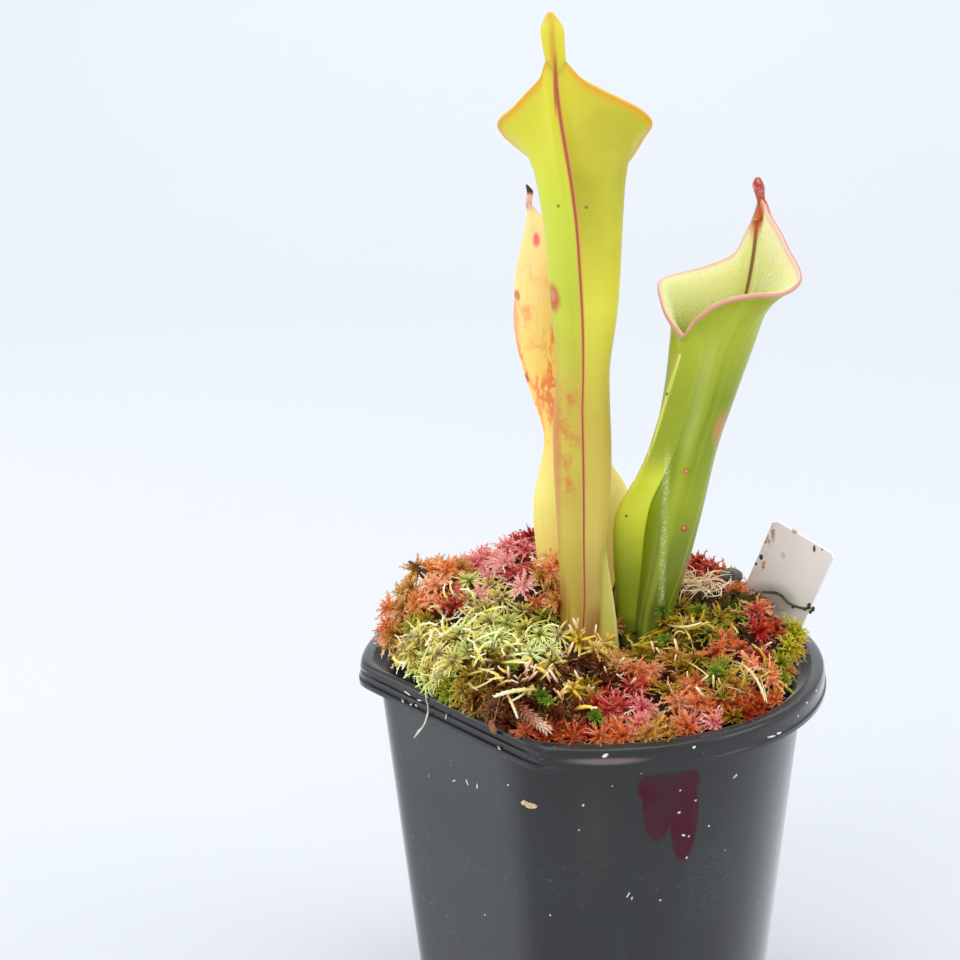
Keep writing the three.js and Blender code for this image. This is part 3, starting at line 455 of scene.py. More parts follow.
# Rows of a tube: height, middle x and y, half width, half depth, and heading of its back.
# Rows of a mouth: turn from the back, x, y, z, and how far the lip leans out from upright.
# Rows of a wing: height, x and y of its edge, and its thickness.
front_leaf = {
    "tube": [
        (104.3, -1.9, -10.6, 4.2, 4.2, -88),
        (112, -1.8, -10.5, 4.9, 4.7, -88),
        (119, -1.5, -10.3, 5.2, 5.0, -88),
        (131, -1.6, -10.1, 5.5, 5.4, -88),
        (143, -1.6, -9.8, 6.1, 5.9, -88),
        (153, -1.7, -9.6, 6.3, 6.1, -88),
        (161, -1.7, -9.5, 6.0, 5.9, -89),
        (169, -1.4, -9.3, 5.7, 5.7, -90),
        (180, -1.1, -9.0, 6.9, 6.6, -93),
        (189, -1.1, -8.8, 7.6, 7.2, -96),
        (199.6, -1.3, -8.5, 8.3, 7.7, -99),
        (206, -1.6, -8.3, 9.0, 8.3, -101),
    ],
    "mouth": [
        (0, -6.7, -17.0, 234.0, 0),
        (12, -8.7, -16.6, 233.4, 0),
        (24, -9.8, -15.8, 230.2, 12),
        (40, -12.6, -14.2, 227.0, 28),
        (58, -15.6, -12.2, 223.7, 42),
        (76, -18.0, -10.2, 221.6, 57),
        (92, -18.6, -8.0, 219.6, 66),
        (120, -16.0, -2.0, 215.5, 64),
        (150, -8.6, 2.6, 209.5, 52),
        (180, 0.2, 4.0, 207.0, 45),
        (210, 7.2, 2.2, 209.8, 52),
        (238, 11.6, -2.6, 216.8, 64),
        (266, 12.8, -8.4, 220.2, 66),
        (284, 10.6, -11.2, 222.9, 55),
        (302, 6.9, -13.0, 225.1, 42),
        (320, 2.6, -14.6, 227.4, 28),
        (336, -1.6, -15.8, 230.0, 12),
        (348, -4.6, -16.6, 233.4, 0),
    ],
    "spoon": [
        (0, -6.3, -16.6, 229.5, 1.6),
        (0.3, -6.7, -16.9, 233.4, 2.05),
        (0.55, -7.1, -17.1, 236.8, 2.3),
        (0.8, -7.4, -17.0, 240.2, 2.3),
        (0.94, -7.6, -16.8, 242.4, 1.2),
        (1, -7.7, -16.7, 243.4, 0.45),
    ],
    "spoon_thickness": 1.1,
    "spoon_cup": 1.0,
    "spoon_facing": 82,
    "wing": [
        (104.3, 6.6, -12.6, 1.6),
        (110, 6.0, -12.3, 1.5),
        (116, 5.3, -12.0, 1.3),
        (122, 4.4, -11.6, 1.1),
        (128.5, 3.4, -11.2, 0.9),
    ],
}


def read_rows(rows, key):
    """Rows of numbers read along their first column by a smooth cubic through each row."""
    last = len(rows) - 1
    low = 0
    while low < last - 1 and rows[low + 1][0] <= key:
        low += 1

    def slope(row, column):
        before, after = rows[max(row - 1, 0)], rows[min(row + 1, last)]
        return (after[column] - before[column]) / (after[0] - before[0])

    width = rows[low + 1][0] - rows[low][0]
    t = min(max((key - rows[low][0]) / width, 0), 1)
    values = []
    for column, start in enumerate(rows[low]):
        end = rows[low + 1][column]
        values.append(start * (1 + 2 * t) * (1 - t) ** 2 + slope(low, column) * width * t * (1 - t) ** 2
                      + end * t * t * (3 - 2 * t) + slope(low + 1, column) * width * t * t * (t - 1))
    return values


def column_turns():
    """Turns round the leaf, closer together near its back, where the spoon's neck is narrow."""
    part = np.arange(leaf_columns) / leaf_columns
    pinch = 0.45
    return 360 * (part - pinch * np.sin(2 * np.pi * part) / (2 * np.pi))


def tube_ring(leaf, height, grow, winged):
    """A ring of the tube, its midrib raised, with the wing drawn out of its side, and the wing's share."""
    _, x, y, half_width, half_depth, heading = read_rows(leaf["tube"], height)
    heading = math.radians(heading)
    turns = np.radians(column_turns())
    back = np.array([math.cos(heading), math.sin(heading)])
    side = np.array([back[1], -back[0]])
    rib = rib_height * np.exp(-((np.degrees(turns) + 180) % 360 - 180) ** 2 / 18) if winged else 0
    deep = (half_depth + grow + rib) * np.cos(turns)
    wide = (half_width + grow) * np.sin(turns)
    ring = np.array([x, y]) + deep[:, None] * back + wide[:, None] * side
    share = np.zeros(leaf_columns)
    wing = leaf["wing"]
    if winged and wing and height <= wing[-1][0]:
        _, wing_x, wing_y, thickness = read_rows(wing, height)
        outward = np.array([wing_x - x, wing_y - y])
        reach = np.hypot(*outward)
        outward /= reach
        across = np.array([-outward[1], outward[0]])
        away = ring - [x, y]
        radius = np.hypot(away[:, 0], away[:, 1])
        swing = np.arctan2(away @ across, away @ outward)
        share = np.clip(1 - abs(swing) / wing_spread, 0, 1)
        root = radius * math.cos(wing_spread)
        along = root + (reach - root) * share
        taper = (1 - share) ** 2.6
        off = radius * math.sin(wing_spread) * taper + thickness / 2 * np.sqrt(1 - share ** 6) * (1 - taper)
        drawn = [x, y] + along[:, None] * outward + (off * np.sign(swing))[:, None] * across
        ring = np.where(share[:, None] > 0, drawn, ring)
    return np.column_stack([ring, np.full(leaf_columns, height)]), share


def unit(vectors):
    return vectors / np.maximum(np.linalg.norm(vectors, axis=-1, keepdims=True), 1e-9)


def leaf_rings(leaf, winged):
    """Rings of the leaf's outer face from its foot to its lip, and each point's share of the wing."""
    foot, throat = leaf["tube"][0][0], leaf["tube"][-1][0]
    heights = np.linspace(foot, throat, tube_steps + 1)
    made = [tube_ring(leaf, height, 0, winged) for height in heights]
    rings = [ring for ring, share in made]
    shares = [share for ring, share in made]
    top = rings[-1]
    rise = unit(top - tube_ring(leaf, throat - 3, 0, winged)[0])
    lip = leaf["mouth"] + [(360,) + leaf["mouth"][0][1:]]
    edge = np.array([read_rows(lip, turn) for turn in column_turns()])
    lean = np.radians(edge[:, 4])
    edge = edge[:, 1:4]
    away = edge[:, :2] - leaf["tube"][-1][1:3] - (edge[:, 2:] - throat) * rise[0, :2]
    away = unit(away) * np.sin(lean)[:, None]
    lean = np.column_stack([away, np.cos(lean)])
    length = np.linalg.norm(edge - top, axis=1, keepdims=True)
    for step in range(1, bell_steps + 1):
        v = step / bell_steps
        rings.append(top * (1 + 2 * v) * (1 - v) ** 2 + rise * length * v * (1 - v) ** 2
                     + edge * v * v * (3 - 2 * v) + lean * length * v * v * (v - 1))
        shares.append(shares[tube_steps] * (1 - v) ** 3)
    return np.array(rings), np.array(shares)


def outward_normals(rings):
    along = np.gradient(rings, axis=0)
    around = np.roll(rings, -1, axis=1) - np.roll(rings, 1, axis=1)
    return unit(np.cross(along, around))


def rolled_lip(outer, inner, normals):
    """Rings that carry the outer face over the lip's small roll to the inner face."""
    middle = (outer[-1] + inner[-1]) / 2
    forth = unit(outer[-1] - outer[-3])
    rings = []
    for turn in (20, 55, 90, 125, 160):
        angle = math.radians(turn)
        ahead = forth * lip_roll * math.sin(angle)
        aside = normals[-1] * lip_roll * lip_fullness * math.cos(angle)
        rings.append(middle + ahead + aside)
    return np.array(rings)


def sewn_skin(name, rings, rise, shares, inner_from):
    """A grid pulled into place point by point, sewn along its seam and closed at both ends."""
    count, columns = rings.shape[:2]
    bpy.ops.object.select_all(action="DESELECT")
    bpy.ops.mesh.primitive_grid_add(x_subdivisions=columns, y_subdivisions=count - 1, size=2)
    piece = bpy.context.active_object
    piece.name = name
    mesh = piece.data
    places = np.zeros(len(mesh.vertices) * 3)
    mesh.vertices.foreach_get("co", places)
    places = places.reshape(-1, 3)
    column = np.rint((places[:, 0] + 1) / 2 * columns).astype(int)
    row = np.rint((places[:, 1] + 1) / 2 * (count - 1)).astype(int)
    mesh.vertices.foreach_set("co", (rings[row, column % columns] * MM).ravel())
    corner = np.zeros(len(mesh.loops), int)
    mesh.loops.foreach_get("vertex_index", corner)
    spread = np.column_stack([column[corner] / columns, np.asarray(rise)[row[corner]]])
    mesh.uv_layers[0].data.foreach_set("uv", spread.ravel())
    wing = mesh.attributes.new("wing", "FLOAT", "POINT")
    wing.data.foreach_set("value", np.asarray(shares)[row, column % columns])
    first = np.array([face.vertices[0] for face in mesh.polygons])
    mesh.polygons.foreach_set("material_index", (row[first] >= inner_from).astype(int))
    bpy.ops.object.mode_set(mode="EDIT")
    bpy.ops.mesh.select_all(action="SELECT")
    bpy.ops.mesh.remove_doubles(threshold=0.004 * MM)
    bpy.ops.mesh.normals_make_consistent(inside=False)
    bpy.ops.object.mode_set(mode="OBJECT")
    bpy.ops.object.shade_smooth()
    return piece


def spoon_rings(leaf):
    """The spoon's cupped lobe, from inside the neck to its tip."""
    facing = math.radians(leaf["spoon_facing"])
    front = np.array([math.cos(facing), math.sin(facing), 0])
    across = np.array([-front[1], front[0], 0])
    turns = np.linspace(0, 2 * np.pi, 40, endpoint=False)
    rings = []
    for part in np.linspace(0, 1, 36):
        _, x, y, z, half = read_rows(leaf["spoon"], part)
        thick = leaf["spoon_thickness"] / 2 * min(1, 0.35 + 3 * (1 - part))
        wide = np.cos(turns)
        cup = leaf["spoon_cup"] * min(half, 2) / 2 * (wide ** 2 - 0.3)
        deep = cup + thick * np.sin(turns) * (1 - 0.55 * wide ** 2)
        bedded = spoon_sink * max(0, 1 - part / 0.35) ** 1.5
        middle = np.array([x, y, z]) + bedded * front
        rings.append(middle + (wide * half)[:, None] * across + deep[:, None] * front)
    return np.array(rings)


def closed_ends(rings):
    """The rings with a point at each end."""
    first = np.repeat(rings[:1].mean(axis=1, keepdims=True), rings.shape[1], axis=1)
    last = np.repeat(rings[-1:].mean(axis=1, keepdims=True), rings.shape[1], axis=1)
    return np.concatenate([first, rings, last])


def join_pieces(pieces):
    bpy.ops.object.select_all(action="DESELECT")
    for piece in pieces:
        piece.select_set(True)
    bpy.context.view_layer.objects.active = pieces[0]
    bpy.ops.object.join()
    return pieces[0]


def hair_shape():
    """One stiff hair: a thin three-sided spike, a unit long, standing on its root."""
    bpy.ops.object.select_all(action="DESELECT")
    bpy.ops.mesh.primitive_cone_add(vertices=3, radius1=0.07, depth=1.05, location=(0, 0, 0.475))
    hair = bpy.context.active_object
    bpy.ops.object.transform_apply(location=True, rotation=True, scale=True)
    points = np.array([vertex.co[:] for vertex in hair.data.vertices])
    faces = [tuple(face.vertices) for face in hair.data.polygons]
    bpy.data.objects.remove(hair)
    return points, faces


def hairs(name, inner, normals, count, length, rows, turns, material, seed):
    """Hairs on the inner face that point down into the pitcher."""
    draw = np.random.RandomState(seed)
    shape, shape_faces = hair_shape()
    points, faces = [], []
    low, high = rows
    for _ in range(count):
        row = int(low + (high - low) * draw.rand() ** 0.7)
        column = int(draw.uniform(*turns) / 360 * leaf_columns) % leaf_columns
        beside = inner[row, (column + 1) % leaf_columns]
        spot = inner[row, column] + 0.5 * draw.rand() * (beside - inner[row, column])
        inward = -normals[row, column]
        down = unit(inner[max(row - 1, 0), column] - inner[row, column])
        heading = Vector(unit(inward * draw.uniform(0.45, 0.9) + down + 0.25 * draw.randn(3)))
        turn = np.array(heading.to_track_quat("Z", "Y").to_matrix())
        start = len(points)
        points += list((shape * [1, 1, length * draw.uniform(0.6, 1.2)]) @ turn.T + spot)
        faces += [tuple(start + corner for corner in face) for face in shape_faces]
    mesh = bpy.data.meshes.new(name)
    mesh.from_pydata([tuple(point * MM) for point in points], [], faces)
    mesh.materials.append(material)
    piece = bpy.data.objects.new(name, mesh)
    bpy.context.scene.collection.objects.link(piece)
    return piece


def pitcher(name, leaf, outside, inside, down, downy):
    """One leaf: outer face, rolled lip, inner face, spoon, and the hairs of its inner face."""
    outer, shares = leaf_rings(leaf, winged=True)
    plain, _ = leaf_rings(leaf, winged=False)
    normals = outward_normals(plain)
    wall = np.where(np.arange(len(plain)) > 0.95 * len(plain), lip_thickness, leaf_wall)
    inner = plain - normals * wall[:, None, None]
    lip = rolled_lip(outer, inner, normals)
    inner_up = inner[3:]
    rings = closed_ends(np.concatenate([outer, lip, inner_up[::-1]]))
    outer_rise = np.linspace(0, 1, len(outer))
    rise = np.concatenate([[0], outer_rise, np.ones(len(lip)), outer_rise[3:][::-1], [outer_rise[3]]])
    flat = np.zeros((1, leaf_columns))
    shares = np.concatenate([flat, shares, np.repeat(flat, len(lip) + len(inner_up) + 1, axis=0)])
    skin = sewn_skin(name, rings, rise, shares, 1 + len(outer) + 3)
    skin.data.materials.append(outside)
    skin.data.materials.append(inside)
    scoop = closed_ends(spoon_rings(leaf))
    spoon = sewn_skin(name + "_spoon", scoop, np.full(len(scoop), 1.1), np.zeros(scoop.shape[:2]), 99)
    spoon.data.materials.append(outside)
    spoon.data.materials.append(inside)
    parts = [skin, spoon]
    for number, (count, length, rows, turns) in enumerate(downy):
        parts.append(hairs(name + "_hairs", inner, normals, count, length, rows, turns, down, 40 + number))
    return join_pieces(parts)


def down_finish(name, code):
    """Short clear hairs, white where they catch the light."""
    finish = Finish(name, roughness=0.35)
    body = finish.mix(finish.noise(900, 2), code, "#ffffff")
    finish.set(base_color=body)
    return finish.material


def around(finish):
    """How far round the leaf from its back, 0 at the midrib, 0.5 opposite, and the same signed by side."""
    part = finish.node("SeparateXYZ", inputs={0: finish.node("UVMap", {"uv_map": "UVMap"})})
    signed = part - part.eased(0.4999, 0.5001)
    return abs(signed), signed


def rise_of(finish):
    return finish.node("SeparateXYZ", inputs={0: finish.node("UVMap", {"uv_map": "UVMap"})}, output=1)


def fibres(finish, lines, along):
    """Fine lengthwise fibres that follow the leaf."""
    spread = finish.node("UVMap", {"uv_map": "UVMap"})
    stretched = finish.node("VectorMath", {"operation": "MULTIPLY"}, {0: spread, 1: (lines, along, 0)})
    return finish.node("TexNoise", inputs={"Vector": stretched, "Scale": 1, "Detail": 3})


def front_outside():
    finish = Finish("front_pitcher_back", subsurface_weight=0.2, subsurface_scale=2 * MM,
                    specular_ior_level=0.35)
    finish.shader.inputs["Subsurface Radius"].default_value = (1, 0.9, 0.2)
    apart, signed = around(finish)
    rise = rise_of(finish)
    height = finish.axis(2)
    cloud = finish.noise(60, 3)
    lines = fibres(finish, 110, 3)
    share = height.eased(104 * MM, 243 * MM)
    left = finish.ramp(share, [(0, "#b0943a"), (0.12, "#d0bc4c"), (0.35, "#ceb846"), (0.6, "#c4cc3a"),
                               (0.8, "#cfda3e"), (1, "#e6d632")])
    right = finish.ramp(share, [(0, "#b49450"), (0.12, "#d8c25c"), (0.35, "#ceb848"), (0.6, "#e6de48"),
                                (0.85, "#b4ac22"), (1, "#dccb30")])
    body = finish.mix(signed.eased(-0.02, 0.02), right, left)
    body = finish.mix(cloud.eased(0.45, 0.7) * 0.35, body, "#dcdc3e")
    body = finish.mix(lines.eased(0.5, 0.75) * 0.16, body, "#97a026")
    lit = rise.eased(0.8, 1)
    body = finish.mix(lit * 0.3, body, "#e2dc3e")
    edge_blush = finish.ball((-7.4, -11, 148), (2, 7, 38), 0.7)
    body = finish.mix(edge_blush * 0.6, body, "#c4743c")
    mottle = finish.noise(260, 4, 0.65).eased(0.42, 0.68)
    mottle = mottle * finish.ball((-4.6, -14, 154), (4.6, 9, 20), 0.6)
    body = finish.mix(mottle * 0.85, body, "#d67440")
    foot_fibres = finish.ball((-6, -13, 113), (2.4, 7, 13), 0.6)
    foot_fibres = foot_fibres.most(finish.ball((1.2, -15, 108), (3, 7, 11), 0.6))
    body = finish.mix(foot_fibres * (lines.eased(0.3, 0.6) * 0.6 + 0.2), body, "#94502a")
    base = height.eased(124 * MM, 108 * MM)
    base = base * finish.noise(140, 3, vector=finish.scaled(1, 1, 0.2)).eased(0.4, 0.65)
    body = finish.mix(base * 0.25, body, "#a25636")
    body = finish.spots(body, [
        ((-7.6, -12, 184.6), (2.2, 5, 4.2), "#c4532c", 0.9),
        ((-7.8, -12, 185.2), (1.2, 5, 1.7), "#dc9478", 0.6),
        ((-6.4, -14.9, 204.4), (0.5, 3, 0.5), "#8a5a2a", 0.8),
        ((-0.5, -16.4, 204.4), (0.5, 3, 0.5), "#8a5a2a", 0.8),
        ((4.5, -12.5, 219.5), (10, 7, 6.5), "#b0ac2c", 0.35),
    ], 0.6, 1)
    halo = apart.eased(0.03, 0.01)
    body = finish.mix(halo * 0.5, body, "#e08a60")
    rib = apart.eased(0.013, 0.007)
    neck = finish.ball((-6.7, -18, 229), (0.7, 2.5, 9), 0.6)
    body = finish.mix(rib.most(neck) * 0.85, body, finish.mix(share, "#9c2830", "#b04628"))
    lip = rise.eased(0.972, 0.997) * rise.eased(1.08, 1.05)
    body = finish.mix(lip * 0.75, body, "#f4b23a")
    tip = height.eased(240.5 * MM, 243 * MM)
    stripe = finish.ball((-7.2, -17, 237), (0.9, 3, 8), 0.7).most(tip * 0.8)
    body = finish.mix(stripe * 0.5, body, "#dc7c44")
    sheath = finish.node("Attribute", {"attribute_name": "wing"}, output=2)
    body = finish.mix(sheath.eased(0.05, 0.3) * 0.75, body, "#d6d468")
    body = finish.mix(sheath.eased(0.82, 0.97) * 0.8, body, "#f4eea0")
    relief = lines * 0.5 + cloud * 0.6
    finish.set(base_color=body, roughness=lines * 0.12 + 0.38, normal=finish.bump(relief, 0.22, 0.25))
    return finish.material


def front_inside():
    finish = Finish("front_pitcher_throat", subsurface_weight=0.25, subsurface_scale=2 * MM)
    apart, _ = around(finish)
    rise = rise_of(finish)
    lines = fibres(finish, 90, 4)
    body = finish.ramp(rise, [(0, "#6c6a1c"), (0.6, "#a9ab36"), (0.85, "#d8da60"), (1, "#efe67c")])
    body = finish.mix(lines.eased(0.5, 0.7) * 0.3, body, "#b8b44a")
    body = finish.mix(apart.eased(0.012, 0.004) * 0.8, body, "#b0522f")
    body = finish.mix(rise.eased(0.975, 1) * 0.8, body, "#f0b85a")
    finish.set(base_color=body, roughness=lines * 0.2 + 0.4, normal=finish.bump(lines, 0.25, 0.2))
    return finish.material


clear_down = down_finish("clear_down", "#e8ecc8")
front_pitcher = pitcher("front_pitcher", front_leaf, front_outside(), front_inside(), clear_down,
                        [(1800, 1.1, (74, 94), (30, 330))])
clothe(front_pitcher, "root", "front_leaf", "pitcher_front")


# The right pitcher: the youngest leaf, open towards the viewer, fresh green outside.
# Its mouth is pale and downy inside, with a thin pink lip, a maroon inner midrib and a
# dark red spoon. A wide wing grows from the seam of its front down to the foot.

right_leaf = {
    "tube": [
        (104.3, 12.2, -9.6, 3.0, 3.2, 20),
        (107, 13.1, -9.6, 3.4, 3.6, 22),
        (115, 14.3, -9.4, 3.9, 4.2, 26),
        (123.4, 16.0, -9.2, 4.9, 5.0, 32),
        (132.7, 17.5, -8.9, 5.8, 5.8, 38),
        (139.6, 18.5, -8.7, 6.4, 6.3, 42),
        (148.6, 20.0, -8.3, 6.8, 6.7, 46),
        (154.5, 21.3, -8.1, 7.1, 7.1, 48),
        (161, 23.0, -7.8, 7.6, 7.6, 50),
        (167.2, 24.5, -7.4, 8.2, 8.2, 50),
        (173, 25.8, -7.0, 8.9, 9.0, 50),
    ],
    "mouth": [
        (0, 36.2, -0.6, 203.4, 0),
        (10, 37.3, -2.2, 202.6, 0),
        (20, 38.1, -5.0, 200.2, 12),
        (34, 40.0, -9.0, 197.0, 28),
        (52, 41.4, -13.0, 194.0, 42),
        (74, 43.0, -16.6, 191.0, 58),
        (92, 43.0, -18.6, 188.6, 64),
        (112, 39.6, -20.0, 186.4, 64),
        (134, 33.0, -20.0, 186.0, 60),
        (152, 26.8, -18.8, 184.2, 52),
        (168, 22.0, -16.8, 180.5, 42),
        (180, 19.6, -14.6, 176.6, 34),
        (194, 18.2, -12.0, 177.2, 42),
        (214, 16.5, -7.8, 178.8, 52),
        (238, 15.4, -2.6, 181.0, 60),
        (264, 15.0, 4.2, 184.0, 62),
        (286, 18.0, 7.6, 185.0, 58),
        (310, 24.4, 8.2, 186.6, 42),
        (330, 29.0, 6.8, 188.6, 28),
        (344, 32.3, 4.0, 191.4, 12),
        (353, 34.6, 0.8, 197.6, 0),
    ],
    "spoon": [
        (0, 36.2, -0.5, 199.0, 1.1),
        (0.4, 36.3, -0.8, 202.4, 1.0),
        (0.65, 35.9, -1.2, 204.6, 1.3),
        (0.85, 35.6, -1.6, 206.4, 1.5),
        (1, 35.4, -1.8, 208.0, 0.6),
    ],
    "spoon_thickness": 1.8,
    "spoon_cup": 0.3,
    "spoon_facing": 230,
    "wing": [
        (104.3, 7.2, -8.2, 2.4),
        (109, 6.1, -7.6, 2.4),
        (115.5, 5.4, -7.0, 2.2),
        (124.7, 4.9, -6.4, 2.2),
        (132, 4.6, -6.4, 2.1),
        (138.6, 6.4, -8.6, 2.0),
        (145.8, 9.9, -12.4, 1.9),
        (152, 12.4, -14.4, 1.8),
        (162, 15.4, -14.9, 1.7),
        (174, 19.0, -14.4, 1.5),
    ],
}


def stripe(finish, low, high, width):
    """1 along a line up the leaf's near side, between two places given as x and z."""
    x, y, z = (finish.axis(number) for number in range(3))
    lean = (high[0] - low[0]) / (high[1] - low[1])
    off = x - (z - low[1] * MM) * lean - low[0] * MM
    ends = z.eased((low[1] - 4) * MM, (low[1] + 4) * MM) * z.eased((high[1] + 4) * MM, (high[1] - 4) * MM)
    return abs(off).eased(width * MM, 0) * ends * y.eased(-8 * MM, -10 * MM)


def right_outside():
    finish = Finish("right_pitcher_back", subsurface_weight=0.15, subsurface_scale=2 * MM, coat_weight=0.12,
                    coat_roughness=0.2, specular_ior_level=0.3)
    finish.shader.inputs["Subsurface Radius"].default_value = (0.8, 1, 0.2)
    rise = rise_of(finish)
    height = finish.axis(2)
    cloud = finish.noise(55, 3)
    lines = fibres(finish, 100, 3)
    share = height.eased(104 * MM, 208 * MM)
    body = finish.ramp(share, [(0, "#4c5c24"), (0.08, "#6e7a14"), (0.3, "#8a9c04"), (0.6, "#86960a"),
                               (0.8, "#a9b428"), (1, "#b8b63c")])
    body = finish.mix(cloud.eased(0.4, 0.7) * 0.3, body, "#b4c024")
    body = finish.mix(lines.eased(0.5, 0.72) * 0.25, body, "#76900a")
    bands = fibres(finish, 20, 0.6).eased(0.5, 0.62)
    body = finish.mix(bands * 0.3, body, "#c2cc40")
    wing = finish.node("Attribute", {"attribute_name": "wing"}, output=2)
    spread = height.eased(153 * MM, 144 * MM)
    # Painted shade: a dark line in the crease where the wing leaves the tube.
    body = finish.mix(wing.eased(0.004, 0.02) * wing.eased(0.07, 0.035) * spread * 0.5, body, "#5a7808")
    wing_shade = finish.mix(share.eased(0.05, 0.25), "#8c9c20", "#e8ee44")
    body = finish.mix(wing.eased(0.035, 0.09) * (spread * 0.75 + 0.15), body, wing_shade)
    body = finish.mix(wing.eased(0.88, 0.99) * 0.85, body, "#f6f07c")
    body = finish.spots(body, [
        ((27.6, -12, 155.5), (2.4, 6, 6.5), "#d08a5c", 0.6),
        ((20.4, -15, 147.7), (0.9, 4, 0.95), "#b8602c", 0.9),
        ((20.4, -15, 147.7), (0.42, 4, 0.42), "#e0b070", 0.9),
        ((20.1, -14.3, 134.5), (1, 4, 1.1), "#a5482c", 0.95),
        ((20.1, -14.3, 134.7), (0.45, 4, 0.45), "#e0a070", 0.9),
        ((16.7, -14.6, 134.4), (0.4, 4, 0.4), "#c77a3a", 0.8),
        ((16.2, -14.7, 164.5), (0.4, 4, 0.5), "#30300c", 0.9),
        ((7.8, -8.7, 135.7), (0.4, 4, 0.4), "#30300c", 0.8),
        ((20.6, -9, 124), (2.2, 5, 8), "#a77a80", 0.6),
        ((8.7, -9.9, 108.5), (5, 6, 5), "#3c4a22", 0.6),
    ], 0.6, 0.6)
    sheen = stripe(finish, (20, 152), (25.4, 176), 2.4)
    body = finish.mix(sheen * 0.22, body, "#dfe88c")
    # Painted highlight: a pale streak up the near side of the tube, with painted glints of tiny white dots in
    # it.
    painted_streak = stripe(finish, (15.2, 114), (16.4, 151), 1.1)
    body = finish.mix(painted_streak * 0.25, body, "#d4e48c")
    painted_glints = finish.specks(2500, 0.33) * painted_streak
    body = finish.mix(painted_glints, body, "#fbffe8")
    lip = rise.eased(0.982, 0.998) * rise.eased(1.08, 1.05)
    body = finish.mix(lip * 0.85, body, "#e69a94")
    # The spoon's knob is dark red; the pink mottle on it is painted glints.
    knob = height.eased(199.5 * MM, 203.5 * MM)
    body = finish.mix(knob, body, finish.ramp(finish.noise(900, 2), [(0.4, "#b03a34"), (0.65, "#e08a80")]))
    relief = lines * 0.5 + cloud * 0.5
    neck = finish.ball((36.2, -0.8, 200.5), (2.2, 3, 5.4), 0.4)
    body = finish.mix(neck * 0.9, body, "#c04a22")
    finish.set(base_color=body, roughness=lines * 0.1 + 0.3, normal=finish.bump(relief, 0.2, 0.25))
    return finish.material


def right_inside():
    finish = Finish("right_pitcher_throat", subsurface_weight=0.25, subsurface_scale=2 * MM)
    apart, _ = around(finish)
    rise = rise_of(finish)
    height = finish.axis(2)
    lines = fibres(finish, 80, 5)
    downy = finish.noise(2200, 2)
    body = finish.ramp(rise, [(0, "#4c5c14"), (0.7, "#a8b040"), (0.82, "#ccd46c"), (0.95, "#eeee98"),
                              (1, "#fbf2c0")])
    body = finish.mix(lines.eased(0.5, 0.7) * 0.2, body, "#c2cc60")
    body = finish.mix(downy.eased(0.5, 0.7) * 0.2, body, "#f6f6c4")
    rib = apart.eased(0.02, 0.009) * height.eased(168 * MM, 184 * MM)
    body = finish.mix(rib * 0.9, body, "#7a3420")
    neck = apart.eased(0.05, 0.02) * height.eased(193 * MM, 199 * MM)
    neck = neck.most(finish.ball((36.2, -0.8, 200.5), (2.4, 3, 5.6), 0.5))
    body = finish.mix(neck * 0.9, body, "#c84a1e")
    body = finish.mix(rise.eased(0.985, 1) * 0.6, body, "#f4c4c0")
    finish.set(base_color=body, roughness=downy * 0.2 + 0.45, normal=finish.bump(downy + lines, 0.3, 0.2))
    return finish.material


white_down = down_finish("white_down", "#e8efb8")
right_pitcher = pitcher("right_pitcher", right_leaf, right_outside(), right_inside(), white_down,
                        [(2600, 0.5, (72, 94), (20, 340))])
clothe(right_pitcher, "root", "right_leaf", "pitcher_right")


# The back pitcher: the oldest leaf, fading to yellow behind the other two.
# Its wall is thin and lit through, veined and blotched with red, and its spoon has dried.

back_leaf = {
    "tube": [
        (104.3, -1.0, 2.4, 3.6, 3.6, 190),
        (112, -1.5, 3.2, 5.4, 5.6, 190),
        (119, -2.2, 4.0, 6.4, 8.8, 190),
        (128, -2.2, 4.6, 6.9, 10.2, 190),
        (137, -2.0, 5.2, 6.9, 10.4, 190),
        (143, -3.0, 5.6, 6.0, 8.0, 190),
        (150, -4.6, 6.2, 5.1, 5.4, 190),
        (157, -6.4, 6.8, 5.4, 5.6, 192),
        (166, -8.8, 7.4, 5.9, 6.1, 194),
        (175, -10.2, 8.0, 6.2, 6.4, 196),
        (184, -9.8, 8.6, 6.3, 6.6, 198),
    ],
    "mouth": [
        (0, -13.4, 5.6, 202.0, 0),
        (14, -13.6, 7.2, 200.6, 8),
        (34, -12.4, 10.6, 197.8, 25),
        (60, -8.4, 15.0, 195.0, 45),
        (90, -2.6, 17.4, 193.0, 55),
        (130, 3.0, 13.6, 190.0, 55),
        (180, 4.4, 7.6, 187.6, 45),
        (230, 2.4, 3.2, 190.0, 40),
        (270, -2.8, 2.0, 193.0, 35),
        (300, -7.2, 1.9, 196.0, 28),
        (326, -10.4, 3.0, 198.8, 18),
        (346, -12.6, 4.4, 201.0, 6),
    ],
    "spoon": [
        (0, -13.0, 6.0, 199.0, 1.1),
        (0.4, -13.0, 5.9, 202.0, 1.0),
        (0.75, -12.7, 5.8, 204.4, 1.1),
        (1, -13.4, 5.7, 205.9, 0.6),
    ],
    "spoon_thickness": 1.4,
    "spoon_cup": 0.3,
    "spoon_facing": 20,
    "wing": None,
}


